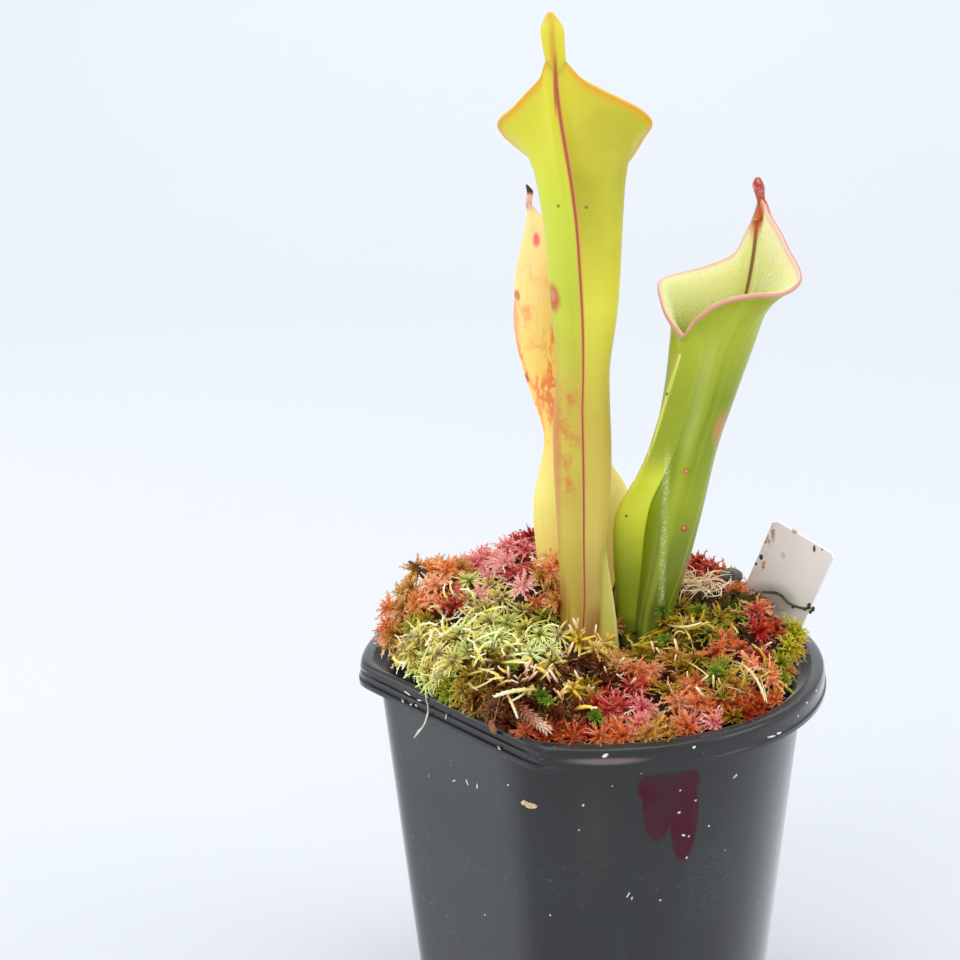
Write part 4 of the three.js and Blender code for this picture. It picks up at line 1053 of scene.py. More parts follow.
def old_outside():
    # The wall glows by emission in its own colour: painted light that stands in for light shining through it.
    finish = Finish("old_pitcher_back", subsurface_weight=0.6, subsurface_scale=3 * MM, emission_strength=0.2)
    finish.shader.inputs["Subsurface Radius"].default_value = (1, 0.8, 0.3)
    height = finish.axis(2)
    cloud = finish.noise(70, 3)
    lines = fibres(finish, 70, 3)
    share = height.eased(104 * MM, 206 * MM)
    body = finish.ramp(share, [(0, "#d0b64c"), (0.25, "#e8d674"), (0.45, "#f4c85c"), (0.7, "#f8cc68"),
                               (1, "#fcd090")])
    body = finish.mix(cloud.eased(0.45, 0.7) * 0.3, body, "#fcc078")
    body = finish.mix(lines.eased(0.52, 0.72) * 0.2, body, "#e8a050")
    marbling = finish.noise(260, 5, 0.65, finish.scaled(1, 1, 0.45))
    veins = marbling.eased(0.43, 0.48) * marbling.eased(0.57, 0.52) * finish.noise(90, 2).eased(0.38, 0.55)
    veins = veins * height.eased(145 * MM, 158 * MM) * height.eased(192 * MM, 176 * MM)
    body = finish.mix(veins * 0.8, body, "#e8683c")
    body = finish.spots(body, [
        ((-11.4, 2.5, 194.2), (1.1, 4, 2.4), "#e8556a", 0.9),
        ((-16, 4, 190.5), (0.9, 3, 1.2), "#9c2c30", 0.8),
        ((-15.8, 5.7, 181.8), (0.8, 4, 1.6), "#9c2c30", 0.7),
        ((-13.9, 5.3, 163.3), (0.9, 4, 1.8), "#a8383a", 0.7),
        ((-16.4, 6, 174), (1.2, 5, 9), "#f08a7c", 0.6),
    ], 0.5, 0.8)
    body = finish.mix(height.eased(199.5 * MM, 201.5 * MM), body, "#d8a890")
    body = finish.mix(height.eased(203.4 * MM, 204.6 * MM), body, "#3a2014")
    relief = lines * 0.5 + cloud * 0.6
    finish.set(base_color=body, emission_color=body, roughness=cloud * 0.15 + 0.42,
               normal=finish.bump(relief, 0.25, 0.3))
    return finish.material


def old_inside():
    finish = Finish("old_pitcher_throat")
    rise = rise_of(finish)
    lines = fibres(finish, 80, 4)
    body = finish.ramp(rise, [(0, "#7a5a24"), (0.7, "#c8a04c"), (1, "#f2d88c")])
    body = finish.mix(lines.eased(0.5, 0.7) * 0.35, body, "#d07a4a")
    finish.set(base_color=body, roughness=lines * 0.2 + 0.45, normal=finish.bump(lines, 0.25, 0.2))
    return finish.material


old_pitcher = pitcher("old_pitcher", back_leaf, old_outside(), old_inside(), clear_down,
                      [(900, 0.8, (74, 94), (30, 330))])
clothe(old_pitcher, "root", "old_leaf", "pitcher_back")


# The label: a strip of thin white plastic, pushed into the moss behind the right pitcher.
# It is blank, stained along one edge and greyer at its foot.

def label_finish():
    finish = Finish("white_label", specular_ior_level=0.4)
    cloud = finish.noise(90, 3)
    body = finish.ramp(cloud, [(0.3, "#f8ece8"), (0.7, "#faf4f0")])
    grime = finish.noise(500, 5, 0.7)
    dirt = grime.eased(0.42, 0.52) * finish.ball((40.7, 8.5, 126.3), (1.3, 4, 4.5), 0.6)
    dirt = dirt.most(grime.eased(0.5, 0.58) * finish.ball((39.4, 9.3, 121), (0.8, 4, 8), 0.5))
    body = finish.mix(dirt * 0.85, body, "#a8703c")
    # The label's foot is painted greyer and mottled.
    greyed_patch = finish.ball((41.5, 8, 110.5), (7.5, 9, 5), 0.6) * (grime * 0.5 + 0.5)
    body = finish.mix(greyed_patch * 0.8, body, "#82867e")
    body = finish.spots(body, [
        ((38.8, 9.6, 120.1), (0.5, 3, 0.8), "#1c1712", 0.95),
        ((37.7, 10.2, 118.3), (0.35, 3, 0.5), "#1c1712", 0.9),
        ((45.9, 5.5, 127.5), (0.8, 3, 0.6), "#a98c6c", 0.8),
        ((50, 3.2, 124.3), (0.32, 3, 1), "#1c1712", 0.95),
        ((51.6, 2.2, 124.4), (0.25, 3, 0.25), "#1c1712", 0.9),
        ((43.5, 6.9, 121.5), (0.5, 3, 0.9), "#c9b8ae", 0.6),
    ], 0.3, 0.3)
    finish.set(base_color=body, roughness=cloud * 0.1 + 0.42)
    return finish.material


dress_node("plant_label", label_finish())


# The moss: living sphagnum in several colours, tucked in by hand round the leaves.
# Each plant is a stem with a starry head of short, leafy branches, packed shoulder to
# shoulder over a mat of its own dead brown stems.

mound_foot = 101
mound_rise = 17.4
mound_peak_back = 18
mound_front_fall = 0.21
mound_back_fall = 0.3
mound_radius = 47.6
mound_fullness = 5
# Where the cushion swells or sinks: x, y, reach and extra height.
mound_swells = [
    (-38, 8, 11, 4.5), (-12, 20, 12, 4), (-28, 28, 9, -3), (-10.5, -2, 5.5, 9.5), (41, 0, 11, 2.2),
    (36, 18, 12, -4.5), (8.5, -15, 6, -5),
]
moss_depth = 9
heads_wanted = 225
edge_heads = 60
moss_edge = 47.2
# How high over the moss a leaf hides what stands behind it, and where its foot is measured.
leaf_hides_to = 12
leaf_foot_height = 114
leaf_clearance = 0.6
# The turn from one branch or leaflet to the next, and the range of a heading drawn by chance.
golden_turn = math.radians(137.5)
any_turn = 6.3

# Where the photograph was taken from, which tells where on the moss a thing in it stands.
camera_place = Vector((0, -424.7, 268))
camera_yaw = math.radians(-3.29)
camera_pitch = math.radians(16.58)
camera_roll = math.radians(-1.13)
camera_lens = 75
sensor_width = 36
photo_width = 960
forward = Vector((math.sin(camera_yaw) * math.cos(camera_pitch),
                  math.cos(camera_yaw) * math.cos(camera_pitch),
                  -math.sin(camera_pitch)))
right = Vector((math.cos(camera_yaw), -math.sin(camera_yaw), 0))
upward = right.cross(forward)
rolled_right = right * math.cos(camera_roll) + upward * math.sin(camera_roll)
rolled_up = upward * math.cos(camera_roll) - right * math.sin(camera_roll)


def mound_top(x, y):
    past = y - mound_peak_back
    rise = mound_rise - (mound_back_fall if past > 0 else -mound_front_fall) * past
    for middle_x, middle_y, reach, swell in mound_swells:
        rise += swell * math.exp(-((x - middle_x) ** 2 + (y - middle_y) ** 2) / reach ** 2)
    edge = min(math.hypot(x, y) / mound_radius, 1)
    return mound_foot + rise * math.sqrt(1 - edge ** mound_fullness)


def peat_top(x, y):
    return max(mound_top(x, y) - moss_depth, skirt_bottom - 1.5)


def inner_reach(height, angle):
    return flattened(wall_radius(height) - wall_thickness, wall_chord(height) - wall_thickness, angle)


def under_pixel(across, down, rise, past=-1.2):
    """Where a pixel of the photograph meets a layer over the moss: x, y and the height over the moss."""
    middle = photo_width / 2
    ray = forward * camera_lens / sensor_width * photo_width + rolled_right * (across - middle)
    ray = (ray - rolled_up * (down - middle)).normalized()
    nearest_yet = (999, 999)
    for far in range(790, 1020):
        x, y, z = camera_place + ray * far / 2
        reach = inner_reach(skirt_bottom, math.atan2(y, x)) + past
        inside = min(reach / math.hypot(x, y), 1)
        height = z - mound_top(x * inside, y * inside)
        if height < leaf_hides_to and in_a_leaf(x, y):
            break
        if (1 - inside, height) < nearest_yet:
            nearest_yet = (1 - inside, height)
            place = (x * inside, y * inside, height)
        if inside == 1 and height < rise:
            break
    return place


def mat_rings():
    """The dead mat's rings: its underside from the middle outwards, then its top back to the middle."""
    angles = np.linspace(0, 2 * np.pi, 120, endpoint=False)
    draw = np.random.RandomState(5)

    def ring(share, height_at):
        places = []
        for angle in angles:
            reach = (inner_reach(skirt_bottom, angle) - 0.5) * share
            x, y = reach * math.cos(angle), reach * math.sin(angle)
            places.append((x, y, height_at(x, y)))
        return places

    rings = [ring(share, lambda x, y: peat_top(x, y) + 0.4) for share in (0.02, 0.3, 0.6, 0.85, 0.97)]
    for share in (0.98, 0.95, 0.9, 0.84, 0.76, 0.68, 0.6, 0.5, 0.4, 0.3, 0.2, 0.1, 0.02):
        rings.append(ring(share, lambda x, y: mound_top(x, y) - 3 - 2.2 * draw.rand()))
    return closed_ends(np.array(rings))


def dead_finish():
    finish = Finish("dead_brown_stems")
    tangle = finish.noise(600, 5, 0.7)
    body = finish.ramp(tangle, [(0.3, "#1c0e05"), (0.5, "#44260c"), (0.7, "#74501e"), (0.85, "#94703a")])
    # Painted shade: towards the pot wall the mat goes near-black, in the gap under the heads.
    outward = (finish.axis(0) ** 2 + finish.axis(1) ** 2) ** 0.5
    body = finish.mix(outward.eased(41 * MM, 44.5 * MM) * 0.85, body, "#080504")
    finish.set(base_color=body, roughness=tangle * 0.2 + 0.75, normal=finish.bump(tangle, 1, 1.2))
    return finish.material


mat_places = mat_rings()
moss_mat = sewn_skin("moss_mat", mat_places, np.linspace(0, 1, len(mat_places)),
                     np.zeros(mat_places.shape[:2]), 999)
moss_mat.data.materials.append(dead_finish())
clothe(moss_mat, "root", "rust_moss")


def triangles_of(piece):
    """The points and triangles of a modelled shape, which is then taken out of the scene."""
    bpy.ops.object.mode_set(mode="EDIT")
    bpy.ops.mesh.select_all(action="SELECT")
    bpy.ops.mesh.quads_convert_to_tris()
    bpy.ops.object.mode_set(mode="OBJECT")
    bpy.ops.object.transform_apply(location=True, rotation=True, scale=True)
    points = np.array([vertex.co[:] for vertex in piece.data.vertices])
    faces = np.array([face.vertices[:] for face in piece.data.polygons])
    bpy.data.objects.remove(piece)
    return points, faces


def twig_shape():
    """A branch's stem, a unit long: three-sided, swollen in the middle and pointed at its tip."""
    bpy.ops.object.select_all(action="DESELECT")
    bpy.ops.mesh.primitive_cone_add(vertices=3, radius1=0.75, radius2=0.28, depth=1, location=(0.5, 0, 0),
                                    rotation=(0, math.pi / 2, 0))
    twig = bpy.context.active_object
    bpy.ops.object.transform_apply(location=True, rotation=True, scale=True)
    bpy.ops.object.mode_set(mode="EDIT")
    for cut in (0.25, 0.5, 0.75):
        bpy.ops.mesh.select_all(action="SELECT")
        bpy.ops.mesh.bisect(plane_co=(cut, 0, 0), plane_no=(1, 0, 0))
    bpy.ops.object.mode_set(mode="OBJECT")
    for vertex in twig.data.vertices:
        swell = 1 + 0.5 * math.sin(math.pi * min(max(vertex.co.x, 0), 1))
        vertex.co.y *= swell
        vertex.co.z *= swell
    return triangles_of(twig)


def bud_shape():
    """A stubby branch, a unit long and a unit thick, with blunt ends."""
    bpy.ops.object.select_all(action="DESELECT")
    bpy.ops.mesh.primitive_uv_sphere_add(segments=8, ring_count=10, radius=0.5, location=(0.5, 0, 0),
                                         rotation=(0, math.pi / 2, 0))
    bud = bpy.context.active_object
    bpy.ops.object.transform_apply(location=True, rotation=True, scale=True)
    for vertex in bud.data.vertices:
        radius = 2 * math.hypot(vertex.co.y, vertex.co.z)
        if radius > 0.01:
            vertex.co.y *= radius ** -0.25
            vertex.co.z *= radius ** -0.25
    return triangles_of(bud)


def leaflet_shape():
    """A moss leaf, a unit long: a thin three-sided point on its root."""
    bpy.ops.object.select_all(action="DESELECT")
    bpy.ops.mesh.primitive_cone_add(vertices=3, radius1=0.22, depth=1, location=(0.5, 0, 0),
                                    rotation=(0, math.pi / 2, 0))
    return triangles_of(bpy.context.active_object)


def leafy_branch(stem, leaflet, thickness, leaflets, leaf_length, lift):
    """A branch a unit long along X: its stem, and leaflets that spiral up it, pointing forwards."""
    points, faces = stem
    points = points * [1, thickness, thickness]
    all_points, all_faces = [points], [faces]
    count = len(points)
    for leaf in range(leaflets):
        along = 0.12 + 0.86 * (leaf + 0.5) / leaflets
        turn = leaf * golden_turn
        opened = Matrix.Rotation(-math.radians(lift * (1.15 - 0.4 * along)), 3, "Y")
        matrix = Matrix.Rotation(turn, 3, "X") @ opened
        size = leaf_length * (1.1 - 0.35 * along)
        skin = np.array(Matrix.Rotation(turn, 3, "X")) @ [0, 0, 0.38 * thickness]
        placed = (leaflet[0] * size) @ np.array(matrix).T + [along, 0, 0] + skin
        all_points.append(placed)
        all_faces.append(leaflet[1] + count)
        count += len(placed)
    return np.concatenate(all_points), np.concatenate(all_faces)


class Tuft:
    """Branches gathered into one mesh, with how far along its branch each point is and each plant's tint."""

    def __init__(self):
        self.points, self.faces, self.kinds, self.along, self.tint = [], [], [], [], []
        self.count = 0

    def add(self, points, faces, kind, along, tint):
        self.points.append(points)
        self.faces.append(faces + self.count)
        self.kinds.append(np.full(len(faces), kind))
        self.along.append(along)
        self.tint.append(np.full(len(points), tint))
        self.count += len(points)

    def piece(self, name, materials):
        points = np.concatenate(self.points) * MM
        faces = np.concatenate(self.faces)
        mesh = bpy.data.meshes.new(name)
        mesh.vertices.add(len(points))
        mesh.vertices.foreach_set("co", points.ravel())
        mesh.loops.add(faces.size)
        mesh.loops.foreach_set("vertex_index", faces.ravel())
        mesh.polygons.add(len(faces))
        mesh.polygons.foreach_set("loop_start", np.arange(0, faces.size, 3))
        mesh.update()
        used = np.unique(np.concatenate(self.kinds))
        for kind in used:
            mesh.materials.append(materials[kind])
        mesh.polygons.foreach_set("material_index", np.searchsorted(used, np.concatenate(self.kinds)))
        for label, values in (("along", self.along), ("tint", self.tint)):
            layer = mesh.attributes.new(label, "FLOAT", "POINT")
            layer.data.foreach_set("value", np.concatenate(values))
        mesh.validate()
        made = bpy.data.objects.new(name, mesh)
        bpy.context.scene.collection.objects.link(made)
        return made


# Each kind of head: branches, length, thickness, leaflets and their length and lift, the angle of its
# outermost branches, droop, curl, its glow, painted light by emission that stands in for the light
# shining through it, and a branch's colours from root to tip.
Moss = namedtuple("Moss", "branches length thickness leaflets leaflet lift "
                          "spread droop curl glow root middle tip")
moss_kinds = {
    "rust": Moss(30, 5.2, 0.055, 10, 0.17, 44, -12, 0.2, 0.35, 0.25, "#a43406", "#f09658", "#ffeac8"),
    "amber": Moss(30, 5.2, 0.055, 10, 0.17, 44, -12, 0.25, 0.4, 0.1, "#884004", "#dca048", "#fcecb4"),
    "rose": Moss(30, 5.2, 0.05, 10, 0.16, 40, -12, 0.25, 0.4, 0.22, "#b02034", "#f4a098", "#ffeee4"),
    "crimson": Moss(31, 5.0, 0.05, 9, 0.16, 38, -10, 0.12, 0.25, 0.1, "#7c0408", "#cc3830", "#fcb8a0"),
    "pale": Moss(28, 5.8, 0.052, 8, 0.11, 36, -12, 0.5, 0.4, 0.24, "#543604", "#e4d66c", "#fffcd8"),
    "mint": Moss(30, 5.6, 0.052, 8, 0.12, 36, -14, 0.45, 0.35, 0.32, "#685c08", "#e0ee90", "#fcfed8"),
    "lime": Moss(32, 5.0, 0.055, 9, 0.16, 42, -15, 0.2, 0.3, 0.16, "#6c5404", "#d0cc2c", "#f4ec78"),
    "maroon": Moss(30, 4.4, 0.055, 8, 0.16, 42, -20, 0.25, 0.45, 0.02, "#240802", "#7c3818", "#d8a468"),
    "star": Moss(15, 5.2, 0.1, 6, 0.18, 22, -22, 0.3, 0.3, 0.25, "#805808", "#ecc848", "#fcf0a4"),
    "coral": Moss(30, 5.2, 0.055, 10, 0.17, 46, -12, 0.2, 0.45, 0.14, "#8c2404", "#e87e44", "#fcd8ac"),
    "olive": Moss(28, 5.4, 0.052, 8, 0.13, 38, -20, 0.4, 0.5, 0.05, "#543402", "#b89420", "#ecd470"),
    "ember": Moss(31, 5.0, 0.05, 9, 0.17, 46, -10, 0.15, 0.3, 0.12, "#600802", "#c84c20", "#f8ac70"),
    "fresh": Moss(30, 5.0, 0.055, 9, 0.16, 44, -15, 0.2, 0.35, 0.06, "#504804", "#a8b028", "#e4e070"),
    "straw": Moss(24, 6.2, 0.02, 3, 0.07, 30, -8, 0.8, 1.0, 0.15, "#a07444", "#f0d4a4", "#fff6e0"),
    # The dusk heads are a darkened moss: painted shade for heads that stand in shadow.
    "dusk": Moss(24, 3.4, 0.07, 8, 0.16, 46, -15, 0.2, 0.3, 0, "#241604", "#5c5420", "#a0984c"),
    "stub": Moss(0, 3, 0.18, 8, 0.1, 26, 0, 0, 0, 0.1, "#a86c48", "#e4b88c", "#f8e8c4"),
    "finger": Moss(0, 6, 0.085, 30, 0.08, 30, 0, 0, 0, 0.1, "#c4a858", "#ecdc9c", "#faf6cc"),
    "cord": Moss(0, 8, 0.045, 12, 0.035, 30, 0, 0, 0, 0.1, "#a08440", "#e0d088", "#f6eeb8"),
    "sprig": Moss(34, 5, 0.1, 8, 0.26, 44, 0, 0.1, 0.2, 0, "#304c04", "#688c1c", "#a4bc48"),
    "log": Moss(0, 9.5, 0.11, 70, 0.17, 46, 0, 0, 0, 0, "#7c3c24", "#bc8060", "#f4d4b4"),
}

# Heads of moss as the photograph shows them: across and down in its pixels, and kind.
seen_heads = [
    (418, 564, "amber"), (434, 561, "rust"), (448, 563, "rust"), (461, 559, "amber"), (469, 573, "mint"),
    (486, 550, "rose"), (499, 548, "rose"), (508, 540, "rose"), (520, 534, "crimson"),
    (532, 529, "crimson"), (526, 543, "rose"), (505, 556, "rose"), (516, 567, "crimson"),
    (548, 548, "ember"), (542, 566, "amber"), (524, 580, "rose"), (410, 582, "amber"), (436, 577, "rust"),
    (448, 577, "coral"), (403, 582, "amber"), (419, 593, "rust"), (452, 599, "crimson"),
    (434, 594, "rust"), (461, 588, "rose"), (391, 599, "rust"), (403, 601, "amber"), (386, 615, "rust"),
    (385, 628, "rust"), (397, 622, "amber"), (411, 620, "fresh"), (427, 612, "olive"),
    (406, 636, "amber"), (394, 638, "olive"), (480, 586, "rose"), (467, 593, "pale"), (502, 590, "pale"),
    (488, 599, "pale"), (537, 593, "coral"), (523, 606, "pale"), (545, 610, "fresh"), (508, 615, "mint"),
    (461, 623, "mint"), (469, 642, "mint"), (445, 633, "pale"), (438, 647, "pale"), (442, 663, "pale"),
    (528, 644, "mint"), (540, 628, "mint"), (497, 628, "mint"), (559, 625, "pale"), (578, 633, "star"),
    (553, 652, "pale"), (411, 652, "mint"), (403, 656, "amber"), (413, 668, "pale"), (429, 676, "mint"),
    (451, 682, "fresh"), (470, 669, "olive"), (467, 692, "olive"), (486, 649, "olive"),
    (502, 653, "maroon"), (486, 669, "maroon"), (502, 674, "maroon"), (521, 663, "maroon"),
    (534, 669, "maroon"), (548, 669, "maroon"), (572, 679, "star"), (588, 676, "olive"),
    (593, 687, "olive"), (601, 661, "maroon"), (572, 653, "maroon"), (610, 650, "amber"),
    (555, 708, "maroon"), (571, 722, "ember"), (587, 728, "crimson"), (610, 700, "crimson"),
    (610, 731, "coral"), (480, 698, "olive"), (491, 706, "maroon"), (580, 698, "maroon"),
    (553, 730, "ember"), (454, 653, "pale"), (481, 684, "olive"), (426, 653, "olive"), (421, 628, "pale"),
    (418, 644, "olive"), (473, 609, "pale"), (489, 615, "pale"), (526, 622, "pale"), (508, 642, "pale"),
    (480, 642, "mint"), (698, 554, "ember"), (709, 561, "crimson"), (722, 565, "coral"),
    (718, 585, "dusk"), (727, 596, "dusk"), (738, 598, "dusk"), (745, 592, "dusk"), (735, 588, "dusk"),
    (748, 602, "dusk"), (545, 545, "rose"), (552, 550, "rust"), (557, 558, "ember"), (550, 562, "rust"),
    (557, 570, "amber"), (551, 578, "amber"), (557, 588, "coral"), (700, 604, "fresh"),
    (718, 612, "olive"), (738, 606, "fresh"), (682, 600, "olive"), (759, 598, "coral"),
    (756, 609, "crimson"), (759, 625, "crimson"), (773, 619, "ember"), (761, 649, "crimson"),
    (741, 624, "dusk"), (792, 619, "lime"), (806, 627, "lime"), (789, 638, "lime"), (780, 655, "fresh"),
    (792, 662, "amber"), (792, 678, "amber"), (769, 667, "rust"), (716, 643, "coral"),
    (727, 632, "coral"), (673, 649, "amber"), (655, 638, "fresh"), (684, 616, "pale"),
    (681, 632, "olive"), (695, 654, "olive"), (717, 668, "fresh"), (737, 675, "amber"),
    (749, 657, "rust"), (773, 694, "fresh"), (784, 693, "amber"), (700, 695, "coral"),
    (735, 706, "ember"), (689, 679, "coral"), (668, 684, "olive"), (633, 679, "crimson"),
    (617, 698, "crimson"), (642, 697, "rose"), (692, 718, "rose"), (709, 719, "coral"),
    (720, 725, "crimson"), (678, 729, "coral"), (658, 721, "amber"), (638, 716, "rose"),
    (614, 729, "coral"), (636, 733, "amber"), (635, 660, "coral"), (615, 655, "amber"),
    (652, 662, "coral"), (643, 648, "olive"), (684, 663, "olive"), (604, 673, "maroon"),
    (666, 668, "maroon"), (679, 695, "coral"), (741, 643, "ember"), (721, 689, "olive"),
    (749, 713, "ember"), (692, 622, "olive"), (711, 625, "fresh"), (666, 614, "olive"),
]
head_rise = 2.2

# Branches that lie loose over the heads: across, down, how far they scatter, how many, kind, length and lift.
loose_branches = [
    (462, 660, 13, 26, "pale", 6, 2.8), (505, 640, 8, 14, "mint", 5.5, 2.8),
    (420, 660, 7, 10, "pale", 6.5, 2.4), (480, 605, 8, 8, "pale", 6, 3),
    (685, 625, 9, 20, "olive", 6.5, 2.6), (740, 690, 7, 10, "olive", 7, 2.6),
    (701, 582, 4, 90, "straw", 6, 2.4), (755, 685, 5, 10, "straw", 6, 2.6),
    (530, 668, 8, 8, "star", 4, 2.6),
]

# Buds that stand between the heads: across, down, how far they scatter and how many.
bud_clusters = [
    (564, 650, 2.5, 4), (578, 630, 2.5, 4), (592, 640, 3, 2), (548, 675, 5, 6), (530, 673, 4, 4),
    (505, 680, 3.5, 4), (575, 690, 6, 3), (555, 725, 4, 4), (618, 670, 4, 3), (655, 655, 4, 3),
    (680, 665, 3, 1), (716, 678, 2, 2), (690, 712, 4, 3), (645, 705, 4, 2), (763, 644, 1, 1),
]

# Small sprigs of another moss, bright green: across, down and size.
green_sprigs = [
    (663, 606, 0.42), (541, 692, 0.42), (547, 697, 0.4), (536, 688, 0.3), (595, 712, 0.45),
    (599, 716, 0.3), (512, 663, 0.34), (716, 667, 0.4), (700, 607, 0.4), (664, 634, 0.3),
]

# Branches that the photograph shows one by one: kind, then its root, bend and tip as across, down and lift.
laid_branches = [
    ("log", (513, 703, 1.8), (531, 717, 2.4), (549, 731, 1.8)),
    ("finger", (538, 690, 3.6), (515, 688, 5), (493, 697, 3.4)),
    ("finger", (507, 694, 4.4), (513, 705, 4.8), (518, 719, 2.6)),
    ("finger", (526, 692, 3.8), (517, 699, 4.4), (509, 702, 3)),
    ("cord", (727, 660, 3), (757, 664, 5), (765, 702, 1.4)),
    ("cord", (758, 672, 3), (765, 690, 3.4), (767, 704, 1)),
    ("cord", (666, 624, 4), (683, 631, 5), (702, 622, 4)),
    ("cord", (672, 640, 4), (677, 626, 5), (685, 634, 4)),
    ("cord", (684, 660, 4), (700, 668, 4.6), (708, 676, 3)),
    ("cord", (435, 637, 4), (425, 650, 5), (421, 666, 3)),
    ("cord", (469, 688, 4), (478, 690, 5), (497, 676, 4)),
    ("cord", (412, 660, 3), (407, 671, 3), (405, 676, 1)),
    ("cord", (426, 668, 3), (431, 680, 3), (433, 690, 0.4)),
]

moss_beds = {"rust": (-26, 20), "pale": (-24, -14), "red": (2, -36), "coral": (27, -20), "green": (28, 14)}
stalk_length = 7
# How far the moss laps over the front of the rim, between which two headings in radians, and how far
# it is tucked in elsewhere.
front_lap = 0.9
lap_turns = (-2.6, -0.5)
tuck_in = 0.3
edge_lean = 0.7
# How far a head may sink below the mound, and stand above it.
head_sinks = -2.5
head_stands = 4
# Where the stone and the dead twig lie on the moss, and the room round them: x, y and reach.
kept_clear = [(32.4, 13.4, 3.6), (-40.5, 8.5, 2), (-37.5, 5, 2.2)]
# Stretches of the edge, in degrees, where the pot shows black inside its rim.
bare_edges = [(-180, -161), (164, 180), (-27, 11)]
bare_from = 42.5


def moss_finish(name, glow, root, middle, tip):
    """Soft wet branches, dark at the root and pale at the tip, a little different on each plant."""
    # The branches glow by emission in their own colour, as strong as the kind's glow: painted light.
    finish = Finish("moss_" + name, specular_ior_level=0.1, emission_strength=glow)
    along = finish.node("Attribute", {"attribute_name": "along"}, output=2)
    tint = finish.node("Attribute", {"attribute_name": "tint"}, output=2)
    patch = finish.noise(500, 2)
    reach = along + patch * 0.3 - 0.15
    # Dark at the root: partly the branch's own colour, partly painted shade deep in the head.
    body = finish.ramp(reach, [(0.12, root), (0.42, middle), (0.58, middle), (0.85, tip)])
    body = finish.mix(tint.eased(0.6, 1.1) * 0.35, body, tip)
    body = finish.mix(tint.eased(0.4, -0.1) * 0.5, body, root)
    finish.set(base_color=body, emission_color=body, roughness=patch * 0.2 + 0.55)
    return finish.material


def in_bare_edge(x, y):
    turn = math.degrees(math.atan2(y, x))
    return math.hypot(x, y) > bare_from and any(low < turn < high for low, high in bare_edges)


def filling_places():
    """Heads on a sunflower's spiral, jittered, then a ring of them that leans out over the rim."""
    draw = random.Random(11)
    golden = math.pi * (3 - math.sqrt(5))
    for head in range(heads_wanted):
        reach = (moss_edge - 3) * ((head + 0.5) / heads_wanted) ** 0.48
        angle = head * golden
        x = reach * math.cos(angle) + 2 * (draw.random() - 0.5)
        y = reach * math.sin(angle) + 2 * (draw.random() - 0.5)
        limit = inner_reach(skirt_bottom, math.atan2(y, x)) - 3
        if math.hypot(x, y) > limit:
            x, y = x * limit / math.hypot(x, y), y * limit / math.hypot(x, y)
        yield x, y, 0, draw.uniform(-2.4, -0.2), 2.6
    for head in range(edge_heads):
        angle = math.radians(-180 + 360 * (head + draw.random() * 0.5) / edge_heads)
        laps = lap_turns[0] < angle < lap_turns[1]
        reach = inner_reach(skirt_bottom, angle) + (front_lap if laps else -tuck_in)
        x, y = reach * math.cos(angle), reach * math.sin(angle)
        over_rim = mound_top(x, y) - pot_height
        yield x, y, 1.5 * edge_lean, -min(2, over_rim - 0.5), 1.5
        if over_rim > 4.5:
            yield x, y, 2 * edge_lean, -min(4.5, over_rim - 1), 0


def in_a_leaf(x, y):
    for leaf in (front_leaf, right_leaf, back_leaf):
        _, middle_x, middle_y, half_width, half_depth, _ = read_rows(leaf["tube"], leaf_foot_height)
        if math.hypot(x - middle_x, y - middle_y) < max(half_width, half_depth) + leaf_clearance:
            return True
    return False


def nearest(x, y, places):
    return min(places, key=lambda place: math.hypot(x - place[0], y - place[1]))


def ground_tilt(x, y):
    """The way up of the mound at a place."""
    step = 2
    slope_x = (mound_top(x + step, y) - mound_top(x - step, y)) / (2 * step)
    slope_y = (mound_top(x, y + step) - mound_top(x, y - step)) / (2 * step)
    return Vector((-slope_x, -slope_y, 1)).normalized()


def clear_of_rim(places):
    """Moss that reaches over the rim lies on it."""
    angles = np.arctan2(places[:, 1], places[:, 0])
    reach = np.array([inner_reach(skirt_bottom, angle) for angle in angles]) - 0.4
    over = np.hypot(places[:, 0], places[:, 1]) > reach
    sunk = (places[over, 2] - pot_height).clip(-2, 0)
    places[over, 2] = np.maximum(places[over, 2], pot_height + 0.2 + 0.25 * sunk)
    return places


